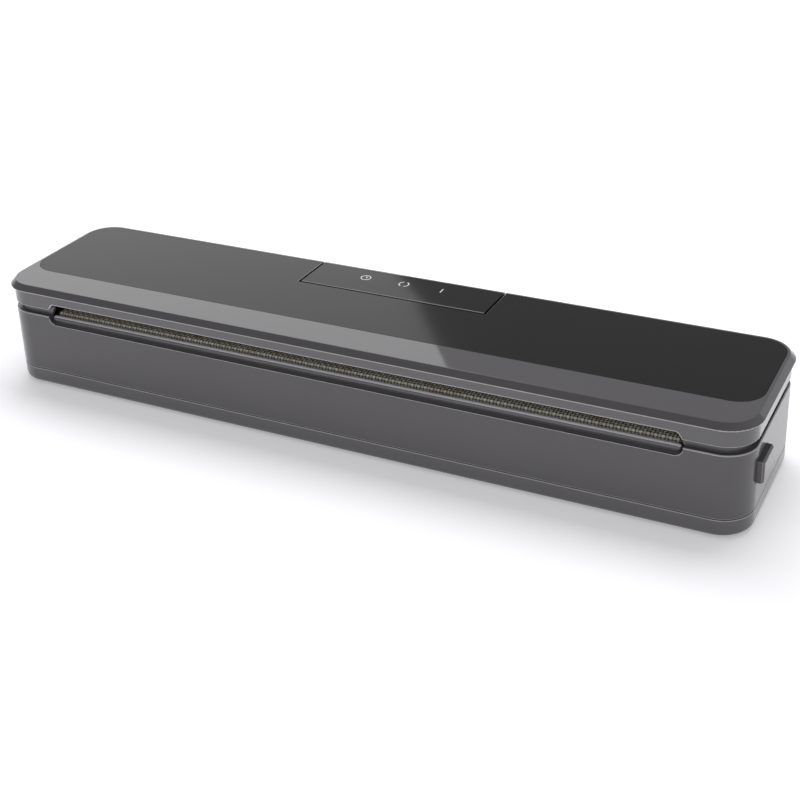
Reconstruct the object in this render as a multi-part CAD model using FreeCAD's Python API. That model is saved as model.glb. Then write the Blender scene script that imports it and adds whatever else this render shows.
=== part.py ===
import FreeCAD, Part

import math
import os

# Vacuum sealer for film bags, at its real size in millimetres.
# +X runs along the length, +Y towards the back, +Z up. The origin is on the ground under the middle.
# The lid is closed on its gaskets but not pressed down to its catches.

V = FreeCAD.Vector
TOLERANCE = 0.001

# Housing and base
BODY_LENGTH = 380.0
BODY_DEPTH = 84.0
CORNER_RADIUS = 15.0
WALL = 2.2
FOOT_PROUD = 1.0
BASE_HEIGHT = 8.4
BASE_EDGE_RADIUS = 2.5
BASE_FLOOR = 2.0
PARTING_GAP = 0.5
HOUSING_HEIGHT = 30.7
HOUSING_EDGE_RADIUS = 0.5
TONGUE_WIDTH = 1.4
TONGUE_HEIGHT = 3.0
FIT_CLEARANCE = 0.2
DECK_DROP = 1.6
DECK_THICKNESS = 4.0
INNER_RIM_INSET = 2.5
INNER_RIM_WIDTH = 1.6
INNER_RIM_HEIGHT = 6.5
INNER_RIM_STOP = 12.0

# Lid
SEAM_GAP = 3.7
SKIRT_HEIGHT = 7.4
SKIRT_WIDTH = 1.9
SKIRT_EDGE_RADIUS = 0.4
RIM_UNDERCUT = 0.9
RIM_OVERHANG = 1.7
RIM_CHAMFER = 2.9
RIM_NOSE_RADIUS = 0.4
TOP_EDGE_RADIUS = 0.6
LID_PLATE = 3.2
LID_HOLE_DEPTH = 0.6
PANEL_THICKNESS = 1.5
PANEL_BORDER = 1.3
PANEL_SETBACK = 19.5
PANEL_CORNER_RADIUS = 12.5
PANEL_CLEARANCE = 0.12
COVER_CLEARANCE = 0.3
COVER_PLATE = 2.0
COVER_UPSTAND = 1.8
BOSS_GAP = 1.0
REAR_SCREW_OFFSET = 22.0
END_SCREW_OFFSET = 10.0

# Bag mouth
MOUTH_INSET = 28.0
NOTCH_DEPTH = 4.1
NOTCH_RADIUS = 3.5
ARCH_OVERRUN = 0.2
ARCH_RUN = 3.6
ARCH_RISE = 2.95
ARCH_SHOULDER = 0.3
LIP_RADIUS = 1.55
LIP_SETBACK = 3.05
LIP_END_GAP = 2.4
LIP_DROP = 0.1
SHELF_RISE = 1.0

# Sealing bar
BAR_END_GAP = 2.0
BAR_SETBACK = 5.1
BAR_WIDTH = 6.6
BAR_PROUD = 2.4
BAR_NOSE_RADIUS = 1.6
BAR_CHANNEL_DEPTH = 2.5
TAPE_THICKNESS = 0.3
TAPE_DROP = 2.6
WIRE_WIDTH = 2.6
WIRE_THICKNESS = 0.2
WIRE_INSET = 2.0
TAPE_INSET = 1.0

# Vacuum chamber and gaskets
TROUGH_END_INSET = 4.5
TROUGH_SETBACK = 7.8
TROUGH_BLOCK_GAP = 14.3
TROUGH_DEPTH = 13.0
TROUGH_WALL = 1.8
TROUGH_RADIUS = 6.0
TRAY_WALL = 1.2
TRAY_CLEARANCE = 0.3
TRAY_BELOW_DECK = 1.0
TRAY_TAB = 8.0
GASKET_WIDTH = 4.5
GASKET_LAND = 2.0
GASKET_GROOVE = 1.5
GASKET_EDGE_RADIUS = 1.2
GASKET_TOP_GAP = 0.3
LOWER_GASKET_PROUD = 5.0
PRESSURE_STRIP_GAP = 3.0

# Control block and hinge
BLOCK_HALF = 49.3
BLOCK_DEPTH = 26.2
BLOCK_GAP = 1.1
BLOCK_WALL = 2.0
HINGE_SETBACK = 6.0
HINGE_DROP = 4.1
PIN_RADIUS = 1.5
PIN_RUNNING = 0.05
PIN_SEAT = 0.02
PIN_END_GAP = 0.2
ARM_OFFSET = 3.0
ARM_WIDTH = 7.2
ARM_DEPTH = 7.2
ARM_EYE_RADIUS = 4.0
ARM_SIDE_GAP = 0.4
ARM_FOOT_LENGTH = 14.0
ARM_FOOT_THICKNESS = 2.0
POCKET_WALL = 3.0
POCKET_CLEARANCE = 1.0

# Release buttons, hooks and springs
BUTTON_PROUD = 3.0
BUTTON_LENGTH = 16.7
BUTTON_HEIGHT = 10.2
BUTTON_SETBACK = 21.35
BUTTON_DROP = 12.2
BUTTON_CHAMFER = 0.8
BUTTON_CLEARANCE = 0.35
BUTTON_TRAVEL = 2.5
FLANGE_THICKNESS = 2.0
FLANGE_LIP = 1.2
FLANGE_GAP = 0.7
SLIDER_REACH = 21.5
SLIDER_BAR = 2.0
SLIDER_HEIGHT = 4.0
HOOK_WIDTH = 8.0
HOOK_THICKNESS = 2.5
HOOK_BARB = 1.0
HOOK_LEAD = 0.6
HOOK_ROOT = 2.0
HOOK_ROOT_LIP = 1.5
HOOK_SIDE_GAP = 1.2
CATCH_RELEASE = 0.4
CATCH_NOSE = 3.6
CATCH_THICKNESS = 1.0
CATCH_GAP = 0.5
SPRING_RADIUS = 2.4
SPRING_WIRE = 0.35
SPRING_TURNS = 5
SPRING_END_GAP = 0.1
SPRING_POST_RADIUS = 1.5
SPRING_POST_LENGTH = 2.0

# Fasteners and feet
SCREW_RADIUS = 1.4
SCREW_HEAD_RADIUS = 2.7
SCREW_HEAD_HEIGHT = 1.8
SCREW_LENGTH = 9.0
SCREW_CLEARANCE = 0.05
SCREW_SLOT = 0.7
SCREW_SLOT_SHARE = 0.65
BOSS_RADIUS = 3.6
WELL_WALL = 1.2
HEAD_CLEARANCE = 0.3
BOSS_INSET_X = 16.0
BOSS_INSET_Y = 8.5
FOOT_RADIUS = 6.5
FOOT_SEAT = 0.8
FOOT_INSET_X = 34.0
FOOT_INSET_Y = 13.0

# Pump, hose and electrics
PUMP_OFFSET = 8.0
PUMP_SETBACK = 21.0
PUMP_RISE = 16.0
HEAD_LENGTH = 22.0
HEAD_SIDE = 26.0
HEAD_EDGE_RADIUS = 3.0
MOTOR_RADIUS = 12.2
MOTOR_LENGTH = 31.0
MOTOR_NECK_RADIUS = 5.0
MOTOR_NECK_LENGTH = 2.0
MOUNT_WIDTH = 7.0
MOUNT_THICKNESS = 2.5
MOUNT_INSET = 1.0
SADDLE_WALL = 3.0
HOSE_RADIUS = 3.0
HOSE_BORE = 1.9
HOSE_BEND = 9.0
SPIGOT_RADIUS = 1.85
SPIGOT_BORE = 1.1
SPIGOT_LENGTH = 6.0
NOZZLE_OFFSET = 18.0
NOZZLE_FLANGE = 4.0
NOZZLE_FLANGE_THICKNESS = 1.2
SPIGOT_BORE_DEPTH = 3.0
PORT_RISE = 4.0
BOARD_HALF = 55.0
BOARD_SETBACK = 16.0
BOARD_WIDTH = 32.0
BOARD_RISE = 5.0
BOARD_THICKNESS = 1.6
PEG_PROUD = 1.0
STANDOFF_RADIUS = 3.0
PEG_RADIUS = 1.2
PEG_INSET = 4.0
RELAY_LENGTH = 18.0
RELAY_WIDTH = 15.0
RELAY_HEIGHT = 11.0
CAPACITOR_RADIUS = 5.0
CAPACITOR_HEIGHT = 10.0
TERMINAL_LENGTH = 20.0
TERMINAL_WIDTH = 10.0
TERMINAL_HEIGHT = 9.0
CORE_INSET = 92.0
CORE_LENGTH = 36.0
CORE_HEIGHT = 28.0
CORE_STACK = 16.0
CORE_LEG = 6.0
COIL_BULGE = 5.0
COIL_CLEARANCE = 0.2
INLET_INSET = 50.0
INLET_RISE = 11.6
INLET_LENGTH = 21.0
INLET_HEIGHT = 11.0
INLET_BODY = 15.0
INLET_WALL = 1.3
INLET_PIN_SPACING = 8.6
INLET_PIN_RADIUS = 1.15
INLET_PIN_SETBACK = 1.5
INLET_WAIST_SHARE = 0.8
INLET_FLANGE = 2.0
SWITCH_INSET = 14.0
SWITCH_Y = 4.0
SWITCH_LENGTH = 13.0
SWITCH_WIDTH = 6.0
SWITCH_HEIGHT = 7.0
PLUNGER_RADIUS = 1.3
PLUNGER_PROUD = 2.0
PLUNGER_CLEARANCE = 0.08
FINGER_GAP = 1.4
FINGER_WIDTH = 5.0
VENT_COUNT = 7
VENT_PITCH = 6.0
VENT_WIDTH = 2.2
VENT_LENGTH = 18.0
VENT_END_SHARE = 0.49

# Levels and edges that follow from the sizes above
HALF_LENGTH = BODY_LENGTH / 2
HALF_DEPTH = BODY_DEPTH / 2
INNER_RIM_REAR = HALF_DEPTH - INNER_RIM_STOP
BASE_Z = FOOT_PROUD
FLOOR_TOP = BASE_Z + BASE_FLOOR
PARTING_Z = BASE_Z + BASE_HEIGHT
HOUSING_TOP = PARTING_Z + HOUSING_HEIGHT
DECK_TOP = HOUSING_TOP - DECK_DROP
DECK_UNDER = DECK_TOP - DECK_THICKNESS
SKIRT_Z = HOUSING_TOP + SEAM_GAP
RIM_ROOT_Z = SKIRT_Z + SKIRT_HEIGHT
RIM_Z = RIM_ROOT_Z + RIM_UNDERCUT
TOP_Z = RIM_Z + RIM_CHAMFER
TOP_INSET = RIM_CHAMFER - RIM_OVERHANG
TOP_REAR = HALF_DEPTH - TOP_INSET
PANEL_UNDER = TOP_Z - PANEL_THICKNESS
PANEL_FRONT = PANEL_SETBACK - HALF_DEPTH
PANEL_REAR = TOP_REAR - PANEL_BORDER
PANEL_HALF = HALF_LENGTH - TOP_INSET - PANEL_BORDER
LID_CEILING = TOP_Z - LID_PLATE
ARCH_Z = SKIRT_Z + ARCH_RISE
COVER_Z = ARCH_Z + COVER_CLEARANCE
COVER_TOP = COVER_Z + COVER_PLATE
COVER_INSET = SKIRT_WIDTH + COVER_CLEARANCE
NOTCH_HALF = HALF_LENGTH - MOUTH_INSET
NOTCH_Z = HOUSING_TOP - NOTCH_DEPTH
ARCH_HALF = NOTCH_HALF + ARCH_OVERRUN - ARCH_RUN
LIP_HALF = NOTCH_HALF - LIP_END_GAP
BAR_HALF = NOTCH_HALF - BAR_END_GAP
BAR_FRONT = BAR_SETBACK - HALF_DEPTH
BAR_REAR = BAR_FRONT + BAR_WIDTH
BAR_SEAT = DECK_TOP - BAR_CHANNEL_DEPTH
BAR_TOP = DECK_TOP + BAR_PROUD
GASKET_OUT = GASKET_LAND + GASKET_WIDTH
LOWER_GASKET_TOP = DECK_TOP + LOWER_GASKET_PROUD
UPPER_GASKET_Z = LOWER_GASKET_TOP + GASKET_TOP_GAP
LIP_Y = -HALF_DEPTH + LIP_SETBACK
LIP_Z = HOUSING_TOP - LIP_RADIUS - LIP_DROP
BLOCK_FRONT = HALF_DEPTH - BLOCK_DEPTH
BLOCK_HOLE_HALF = BLOCK_HALF + BLOCK_GAP
BLOCK_HOLE_FRONT = BLOCK_FRONT - BLOCK_GAP
HINGE_Y = HALF_DEPTH - HINGE_SETBACK
HINGE_Z = HOUSING_TOP - HINGE_DROP
BLOCK_HOLE_RADIUS = math.hypot(HINGE_Y - BLOCK_HOLE_FRONT, TOP_Z - HINGE_Z)
ARM_INNER_X = BLOCK_HOLE_HALF + ARM_OFFSET
POCKET_INNER_X = ARM_INNER_X - ARM_SIDE_GAP
POCKET_OUTER_X = ARM_INNER_X + ARM_WIDTH + ARM_SIDE_GAP
POCKET_FRONT = HINGE_Y - ARM_EYE_RADIUS - POCKET_CLEARANCE
POCKET_FLOOR = HINGE_Z - ARM_EYE_RADIUS - POCKET_CLEARANCE
BUTTON_Y = BUTTON_SETBACK - HALF_DEPTH
BUTTON_Z = HOUSING_TOP - BUTTON_DROP
SLIDER_BACK = HALF_LENGTH - WALL - SLIDER_REACH
CATCH_X = SLIDER_BACK + SLIDER_BAR + CATCH_NOSE
CATCH_GRIP = BUTTON_TRAVEL - CATCH_RELEASE
HOOK_INNER_X = CATCH_X + CATCH_NOSE - CATCH_GRIP
CATCH_TOP = BUTTON_Z + BUTTON_HEIGHT / 2 - CATCH_GAP
HOOK_Z = CATCH_TOP + CATCH_GAP
BOSS_X = HALF_LENGTH - BOSS_INSET_X
BOSS_Y = HALF_DEPTH - BOSS_INSET_Y
BOSS_PLACES = [(x, y) for x in (-BOSS_X, 0.0, BOSS_X) for y in (-BOSS_Y, BOSS_Y)]
BOSS_MEET = PARTING_Z + PARTING_GAP
FOOT_PLACES = [
    (x, y)
    for x in (FOOT_INSET_X - HALF_LENGTH, HALF_LENGTH - FOOT_INSET_X)
    for y in (FOOT_INSET_Y - HALF_DEPTH, HALF_DEPTH - FOOT_INSET_Y)
]
TROUGH_HALF = BAR_HALF - TROUGH_END_INSET
TROUGH_FRONT = BAR_REAR + TROUGH_SETBACK
TROUGH_REAR = BLOCK_FRONT - TROUGH_BLOCK_GAP
TROUGH_REAR_FACE = TROUGH_REAR + TROUGH_WALL
TROUGH_FLOOR = DECK_TOP - TROUGH_DEPTH
PUMP_X = POCKET_OUTER_X + POCKET_WALL + PUMP_OFFSET
PUMP_Y = HALF_DEPTH - PUMP_SETBACK
PUMP_Z = FLOOR_TOP + PUMP_RISE
NOZZLE_X = PUMP_X - NOZZLE_OFFSET
PORT_Z = TROUGH_FLOOR + PORT_RISE
MOTOR_X = PUMP_X + HEAD_LENGTH + MOTOR_NECK_LENGTH
BOARD_FRONT = BOARD_SETBACK - HALF_DEPTH
BOARD_REAR = BOARD_FRONT + BOARD_WIDTH
BOARD_Z = FLOOR_TOP + BOARD_RISE
CORE_X = CORE_INSET - HALF_LENGTH
INLET_X = INLET_INSET - HALF_LENGTH
INLET_Z = PARTING_Z + INLET_RISE
SWITCH_X = SWITCH_INSET - HALF_LENGTH


def box(x0, x1, y0, y1, z0, z1):
    """A block between two corners."""
    return Part.makeBox(x1 - x0, y1 - y0, z1 - z0, V(x0, y0, z0))


def rod(radius, start, end):
    """A round bar from one point to another."""
    return Part.makeCylinder(radius, (end - start).Length, start, end - start)


def rounded_rectangle(x0, x1, y0, y1, radius, z):
    """A level outline of four sides and four corner arcs."""
    centres = [
        (x1 - radius, y1 - radius),
        (x0 + radius, y1 - radius),
        (x0 + radius, y0 + radius),
        (x1 - radius, y0 + radius),
    ]
    arcs = []
    for quarter, (cx, cy) in enumerate(centres):
        circle = Part.Circle(V(cx, cy, z), V(0, 0, 1), radius)
        start = quarter * math.pi / 2
        arcs.append(Part.ArcOfCircle(circle, start, start + math.pi / 2).toShape())
    edges = []
    for arc, following in zip(arcs, arcs[1:] + arcs[:1]):
        edges.append(arc)
        edges.append(Part.makeLine(arc.Vertexes[-1].Point, following.Vertexes[0].Point))
    return Part.Wire(edges)


def pad(x0, x1, y0, y1, radius, z0, z1):
    """An upright block with rounded corners."""
    return Part.Face(rounded_rectangle(x0, x1, y0, y1, radius, z0)).extrude(V(0, 0, z1 - z0))


def body_outline(inset, z):
    """The plan of the housing, moved inwards by inset."""
    x = HALF_LENGTH - inset
    y = HALF_DEPTH - inset
    return rounded_rectangle(-x, x, -y, y, CORNER_RADIUS - inset, z)


def body_slab(inset, z0, z1):
    """A slab on the plan of the housing, moved inwards by inset."""
    return Part.Face(body_outline(inset, z0)).extrude(V(0, 0, z1 - z0))


def body_ring(outer_inset, width, z0, z1):
    """A wall that follows the plan of the housing."""
    return body_slab(outer_inset, z0, z1).cut(body_slab(outer_inset + width, z0 - 1, z1 + 1))


def bar_of_section(points, x0, x1):
    """A straight bar along X with a polygon of (y, z) points as its section."""
    corners = [V(x0, y, z) for y, z in points]
    return Part.Face(Part.makePolygon(corners + corners[:1])).extrude(V(x1 - x0, 0, 0))


def level_edges(shape, z):
    """The edges of a shape that lie at height z."""
    found = []
    for edge in shape.Edges:
        middle = edge.valueAt((edge.FirstParameter + edge.LastParameter) / 2)
        heights = [vertex.Z for vertex in edge.Vertexes] + [middle.z]
        if all(abs(height - z) < TOLERANCE for height in heights):
            found.append(edge)
    return found


def softened(shape, radius, z):
    """The shape with its edges at height z rounded."""
    return shape.makeFillet(radius, level_edges(shape, z))


def joined(shapes):
    """One solid from several that meet."""
    return shapes[0].multiFuse(shapes[1:]).removeSplitter()


def mirrored(shape):
    """The shape on the other end of the object."""
    return shape.mirror(V(0, 0, 0), V(1, 0, 0))


def both_ends(shape):
    """A shape of the right end together with its mirror image."""
    return [shape, mirrored(shape)]


def screw(head, direction, length=SCREW_LENGTH):
    """A pan head screw whose head seats at the point head and whose shank runs along direction."""
    shank = rod(SCREW_RADIUS, head, head + direction * length)
    cap = rod(SCREW_HEAD_RADIUS, head, head - direction * SCREW_HEAD_HEIGHT)
    top = head - direction * SCREW_HEAD_HEIGHT
    reach = SCREW_HEAD_RADIUS * SCREW_SLOT_SHARE
    half = SCREW_SLOT / 2
    depth = SCREW_HEAD_HEIGHT / 2
    slots = []
    for x, y in ((reach, half), (half, reach)):
        slots.append(box(top.x - x, top.x + x, top.y - y, top.y + y, top.z - depth, top.z + depth))
    return joined([shank, cap]).cut(slots)


def block_hole():
    """The room that the control block needs in the lid over the whole swing of the lid."""
    sweep = rod(
        BLOCK_HOLE_RADIUS,
        V(-BLOCK_HOLE_HALF, HINGE_Y, HINGE_Z),
        V(BLOCK_HOLE_HALF, HINGE_Y, HINGE_Z),
    )
    back = BODY_DEPTH
    above = box(-BLOCK_HOLE_HALF, BLOCK_HOLE_HALF, HINGE_Y, back, SKIRT_Z - 1, TOP_Z + 1)
    return sweep.fuse(above)


def panel_slab(clearance, z0, z1):
    """The plan of the gloss panel in the lid, widened by clearance."""
    x = PANEL_HALF + clearance
    radius = PANEL_CORNER_RADIUS + clearance
    return pad(-x, x, PANEL_FRONT - clearance, PANEL_REAR + clearance, radius, z0, z1)


def chamber_slab(out, radius, z0, z1):
    """A slab on the plan of the vacuum chamber, widened by out."""
    x = TROUGH_HALF + out
    return pad(-x, x, TROUGH_FRONT - out, TROUGH_REAR + out, radius, z0, z1)


def gasket_ring(z0, z1, clearance=0.0):
    """The ring of a gasket around the vacuum chamber."""
    outer = chamber_slab(GASKET_OUT + clearance, TROUGH_RADIUS + GASKET_OUT, z0, z1)
    inner = chamber_slab(GASKET_LAND - clearance, TROUGH_RADIUS + GASKET_LAND, z0 - 1, z1 + 1)
    return outer.cut(inner)


def base_tray():
    """The floor of the case: low wall, locating tongue, screw wells, board pegs, pump saddles and vents."""
    wall_top = PARTING_Z - PARTING_GAP / 2
    shell = softened(body_slab(0, BASE_Z, wall_top), BASE_EDGE_RADIUS, BASE_Z)
    tongue_inset = WALL + FIT_CLEARANCE
    shell = shell.fuse(body_slab(tongue_inset, FLOOR_TOP, PARTING_Z + TONGUE_HEIGHT))
    shell = shell.cut(body_slab(tongue_inset + TONGUE_WIDTH, FLOOR_TOP, PARTING_Z + TONGUE_HEIGHT + 1))
    added = []
    removed = []
    well_top = BOSS_MEET - SCREW_HEAD_HEIGHT
    for x, y in BOSS_PLACES:
        added.append(rod(BOSS_RADIUS + WELL_WALL, V(x, y, BASE_Z), V(x, y, BOSS_MEET)))
        removed.append(rod(SCREW_HEAD_RADIUS + HEAD_CLEARANCE, V(x, y, BASE_Z - 1), V(x, y, well_top)))
        hole = SCREW_RADIUS + SCREW_CLEARANCE
        removed.append(rod(hole, V(x, y, BASE_Z - 1), V(x, y, BOSS_MEET + 1)))
    for x, y in FOOT_PLACES:
        removed.append(rod(FOOT_RADIUS + FIT_CLEARANCE, V(x, y, BASE_Z - 1), V(x, y, BASE_Z + FOOT_SEAT)))
    for x, y in peg_places():
        added.append(rod(STANDOFF_RADIUS, V(x, y, BASE_Z), V(x, y, BOARD_Z)))
        added.append(rod(PEG_RADIUS, V(x, y, BASE_Z), V(x, y, BOARD_Z + BOARD_THICKNESS + PEG_PROUD)))
    for x in mount_places():
        added.append(pump_saddle(x))
    for index in range(VENT_COUNT):
        x = CORE_X + (index - (VENT_COUNT - 1) / 2) * VENT_PITCH
        half = VENT_LENGTH / 2
        side = VENT_WIDTH / 2
        removed.append(pad(x - side, x + side, -half, half, VENT_WIDTH * VENT_END_SHARE, 0, FLOOR_TOP + 1))
    return joined([shell] + added).cut(removed)


def peg_places():
    """Where the main board is held."""
    xs = (PEG_INSET - BOARD_HALF, BOARD_HALF - PEG_INSET)
    ys = (BOARD_FRONT + PEG_INSET, BOARD_REAR - PEG_INSET)
    return [(x, y) for x in xs for y in ys]


def mount_places():
    """Where the rubber collars sit along the motor."""
    inset = MOUNT_WIDTH / 2 + MOUNT_INSET
    return [MOTOR_X + inset, MOTOR_X + MOTOR_LENGTH - inset]


def pump_saddle(x):
    """A half round cradle on the base that carries one collar of the motor."""
    collar = MOTOR_RADIUS + MOUNT_THICKNESS
    half = MOUNT_WIDTH / 2
    reach = collar + SADDLE_WALL
    block = box(x - half, x + half, PUMP_Y - reach, PUMP_Y + reach, BASE_Z + 1, PUMP_Z)
    return block.cut(rod(collar, V(x - half - 1, PUMP_Y, PUMP_Z), V(x + half + 1, PUMP_Y, PUMP_Z)))


def main_housing():
    """The upper case: walls, deck, inner rim, bag mouth, vacuum trough, hinge pockets, button windows."""
    bottom = PARTING_Z + PARTING_GAP / 2
    ledge = INNER_RIM_INSET + INNER_RIM_WIDTH
    wall = softened(body_slab(0, bottom, HOUSING_TOP), HOUSING_EDGE_RADIUS, HOUSING_TOP)
    shell = wall.cut(body_slab(WALL, bottom - 1, DECK_UNDER))
    shell = shell.cut(body_slab(ledge, DECK_TOP, HOUSING_TOP + 1))
    rim = body_ring(INNER_RIM_INSET, INNER_RIM_WIDTH, DECK_TOP, DECK_TOP + INNER_RIM_HEIGHT)
    rim = rim.cut(box(-BODY_LENGTH, BODY_LENGTH, INNER_RIM_REAR, BODY_DEPTH, 0, TOP_Z))
    trough_low = TROUGH_FLOOR - TROUGH_WALL
    added = [rim, chamber_slab(TROUGH_WALL, TROUGH_RADIUS + TROUGH_WALL, trough_low, DECK_TOP)]
    for x, y in BOSS_PLACES:
        added.append(rod(BOSS_RADIUS, V(x, y, BOSS_MEET), V(x, y, DECK_UNDER + 1)))
    added.extend(both_ends(hinge_pocket_block()))
    added.extend(both_ends(spring_post()))
    added.append(switch_bracket())
    shell = joined([shell] + added)
    removed = [
        chamber_slab(0, TROUGH_RADIUS, TROUGH_FLOOR, DECK_TOP + 1),
        gasket_ring(DECK_TOP - GASKET_GROOVE, DECK_TOP + 1, FIT_CLEARANCE / 2),
        mouth_notch(),
        bar_channel(),
        nozzle_hole(),
        inlet_hole(),
        plunger_hole(),
    ]
    removed.extend(both_ends(hinge_pocket()))
    removed.extend(both_ends(button_window()))
    removed.extend(both_ends(hook_slot()))
    for x, y in BOSS_PLACES:
        hole = SCREW_RADIUS + SCREW_CLEARANCE
        removed.append(rod(hole, V(x, y, BOSS_MEET - 1), V(x, y, BOSS_MEET + SCREW_LENGTH + 1)))
    for x, y in block_screw_places():
        hole = SCREW_RADIUS + SCREW_CLEARANCE
        removed.append(rod(hole, V(x, y, DECK_UNDER - 1), V(x, y, DECK_TOP + 1)))
    return shell.cut(removed).fuse(mouth_lip()).removeSplitter()


def mouth_notch():
    """The dip in the front wall below the arch of the lid, with round lower corners."""
    front = -HALF_DEPTH - 1
    high = DECK_TOP + INNER_RIM_HEIGHT + 1
    reach = BAR_FRONT - front
    outline = rounded_rectangle(-NOTCH_HALF, NOTCH_HALF, NOTCH_Z, high + NOTCH_RADIUS, NOTCH_RADIUS, 0)
    outline.rotate(V(0, 0, 0), V(1, 0, 0), 90)
    outline.translate(V(0, front, 0))
    return Part.Face(outline).extrude(V(0, reach, 0))


def mouth_lip():
    """The sloping shelf and the rounded lip that the bag slides over."""
    front = -HALF_DEPTH
    root = NOTCH_Z - NOTCH_DEPTH / 2
    shelf_back = LIP_Y + LIP_RADIUS
    shelf_z = NOTCH_Z + SHELF_RISE
    shelf = [(front, root), (front, NOTCH_Z), (LIP_Y, shelf_z), (shelf_back, shelf_z), (shelf_back, root)]
    step = bar_of_section(shelf, -NOTCH_HALF, NOTCH_HALF)
    web = box(-LIP_HALF, LIP_HALF, LIP_Y - LIP_RADIUS / 2, shelf_back, NOTCH_Z, LIP_Z)
    lip = rod(LIP_RADIUS, V(-LIP_HALF, LIP_Y, LIP_Z), V(LIP_HALF, LIP_Y, LIP_Z))
    ends = [Part.makeSphere(LIP_RADIUS, V(x, LIP_Y, LIP_Z)) for x in (-LIP_HALF, LIP_HALF)]
    return joined([step, web, lip] + ends)


def bar_channel():
    """The groove in the deck that holds the sealing bar."""
    half = BAR_HALF + FIT_CLEARANCE
    front = BAR_FRONT - TAPE_THICKNESS - FIT_CLEARANCE
    return box(-half, half, front, BAR_REAR + FIT_CLEARANCE, BAR_SEAT, TOP_Z)


def plunger_hole():
    """The hole in the deck for the plunger of the lid switch."""
    radius = PLUNGER_RADIUS + PLUNGER_CLEARANCE
    return rod(radius, V(SWITCH_X, SWITCH_Y, DECK_UNDER - 1), V(SWITCH_X, SWITCH_Y, TOP_Z))


def nozzle_hole():
    """The suction hole in the back wall of the trough."""
    radius = SPIGOT_RADIUS + FIT_CLEARANCE
    return rod(radius, V(NOZZLE_X, TROUGH_REAR - 1, PORT_Z), V(NOZZLE_X, TROUGH_REAR_FACE + 1, PORT_Z))


def inlet_hole():
    """The opening for the power inlet in the back wall."""
    x = INLET_LENGTH / 2 + FIT_CLEARANCE
    z = INLET_HEIGHT / 2 + FIT_CLEARANCE
    inner = HALF_DEPTH - WALL - 1
    return box(INLET_X - x, INLET_X + x, inner, HALF_DEPTH + 1, INLET_Z - z, INLET_Z + z)


def hinge_pocket_block():
    """The thickened corner of the deck around one hinge arm."""
    back = HALF_DEPTH - WALL / 2
    low = POCKET_FLOOR - POCKET_WALL / 2
    x0 = POCKET_INNER_X - POCKET_WALL
    x1 = POCKET_OUTER_X + POCKET_WALL
    return box(x0, x1, POCKET_FRONT - POCKET_WALL / 2, back, low, DECK_TOP)


def hinge_pocket():
    """The slot that one hinge arm swings in, open at the top and the back, with the bore for its pin."""
    slot = box(POCKET_INNER_X, POCKET_OUTER_X, POCKET_FRONT, HALF_DEPTH + 1, POCKET_FLOOR, TOP_Z)
    reach = POCKET_WALL + 1
    bore = rod(
        PIN_RADIUS + PIN_SEAT,
        V(POCKET_INNER_X - reach, HINGE_Y, HINGE_Z),
        V(POCKET_OUTER_X + reach, HINGE_Y, HINGE_Z),
    )
    return slot.fuse(bore)


def button_window():
    """The opening for the release button in the right end wall."""
    y = BUTTON_LENGTH / 2 + BUTTON_CLEARANCE
    z = BUTTON_HEIGHT / 2 + BUTTON_CLEARANCE
    x0 = HALF_LENGTH - WALL - 1
    return box(x0, HALF_LENGTH + 1, BUTTON_Y - y, BUTTON_Y + y, BUTTON_Z - z, BUTTON_Z + z)


def hook_slot():
    """The slot in the deck that the right hook of the lid drops through."""
    y = HOOK_WIDTH / 2 + HOOK_SIDE_GAP
    x0 = HOOK_INNER_X - CATCH_NOSE - HOOK_SIDE_GAP
    x1 = HOOK_INNER_X + HOOK_THICKNESS + HOOK_SIDE_GAP
    return box(x0, x1, BUTTON_Y - y, BUTTON_Y + y, DECK_UNDER - 1, DECK_TOP + 1)


def spring_post():
    """The peg on the end of the trough that centres the right button spring."""
    root = TROUGH_HALF + TROUGH_WALL
    return rod(
        SPRING_POST_RADIUS,
        V(root - TROUGH_WALL / 2, BUTTON_Y, BUTTON_Z),
        V(root + SPRING_POST_LENGTH, BUTTON_Y, BUTTON_Z),
    )


def switch_bracket():
    """Two ribs under the deck that hold the lid switch."""
    low = DECK_UNDER - SWITCH_HEIGHT
    y = SWITCH_LENGTH / 2 + FIT_CLEARANCE
    x = SWITCH_WIDTH / 2
    ribs = []
    for side in (-1, 1):
        edges = sorted((SWITCH_Y + side * y, SWITCH_Y + side * (y + WALL)))
        ribs.append(box(SWITCH_X - x, SWITCH_X + x, edges[0], edges[1], low, DECK_UNDER + 1))
    return ribs[0].fuse(ribs[1])


def drip_tray():
    """The lift-out tray in the vacuum chamber, with a dip at the suction hole and a finger lip."""
    top = DECK_TOP - TRAY_BELOW_DECK
    low = TROUGH_FLOOR + TRAY_CLEARANCE
    outer = chamber_slab(-TRAY_CLEARANCE, TROUGH_RADIUS - TRAY_CLEARANCE, low, top)
    inset = TRAY_CLEARANCE + TRAY_WALL
    inner = chamber_slab(-inset, TROUGH_RADIUS - inset, low + TRAY_WALL, top + 1)
    floor_z = low + TRAY_WALL
    dip_half = NOZZLE_FLANGE + 1
    dip_y = TROUGH_REAR - inset - 1
    dip = box(NOZZLE_X - dip_half, NOZZLE_X + dip_half, dip_y, TROUGH_REAR + 1, floor_z, top + 1)
    tray = softened(outer, TRAY_WALL, low).cut(inner).cut(dip)
    tab_x = TROUGH_HALF - inset
    tab_y = (TROUGH_FRONT + TROUGH_REAR) / 2
    half = TRAY_TAB / 2
    tab = box(tab_x - TRAY_TAB, tab_x + TRAY_WALL / 2, tab_y - half, tab_y + half, top - TRAY_WALL, top)
    return joined([tray, tab])


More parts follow.
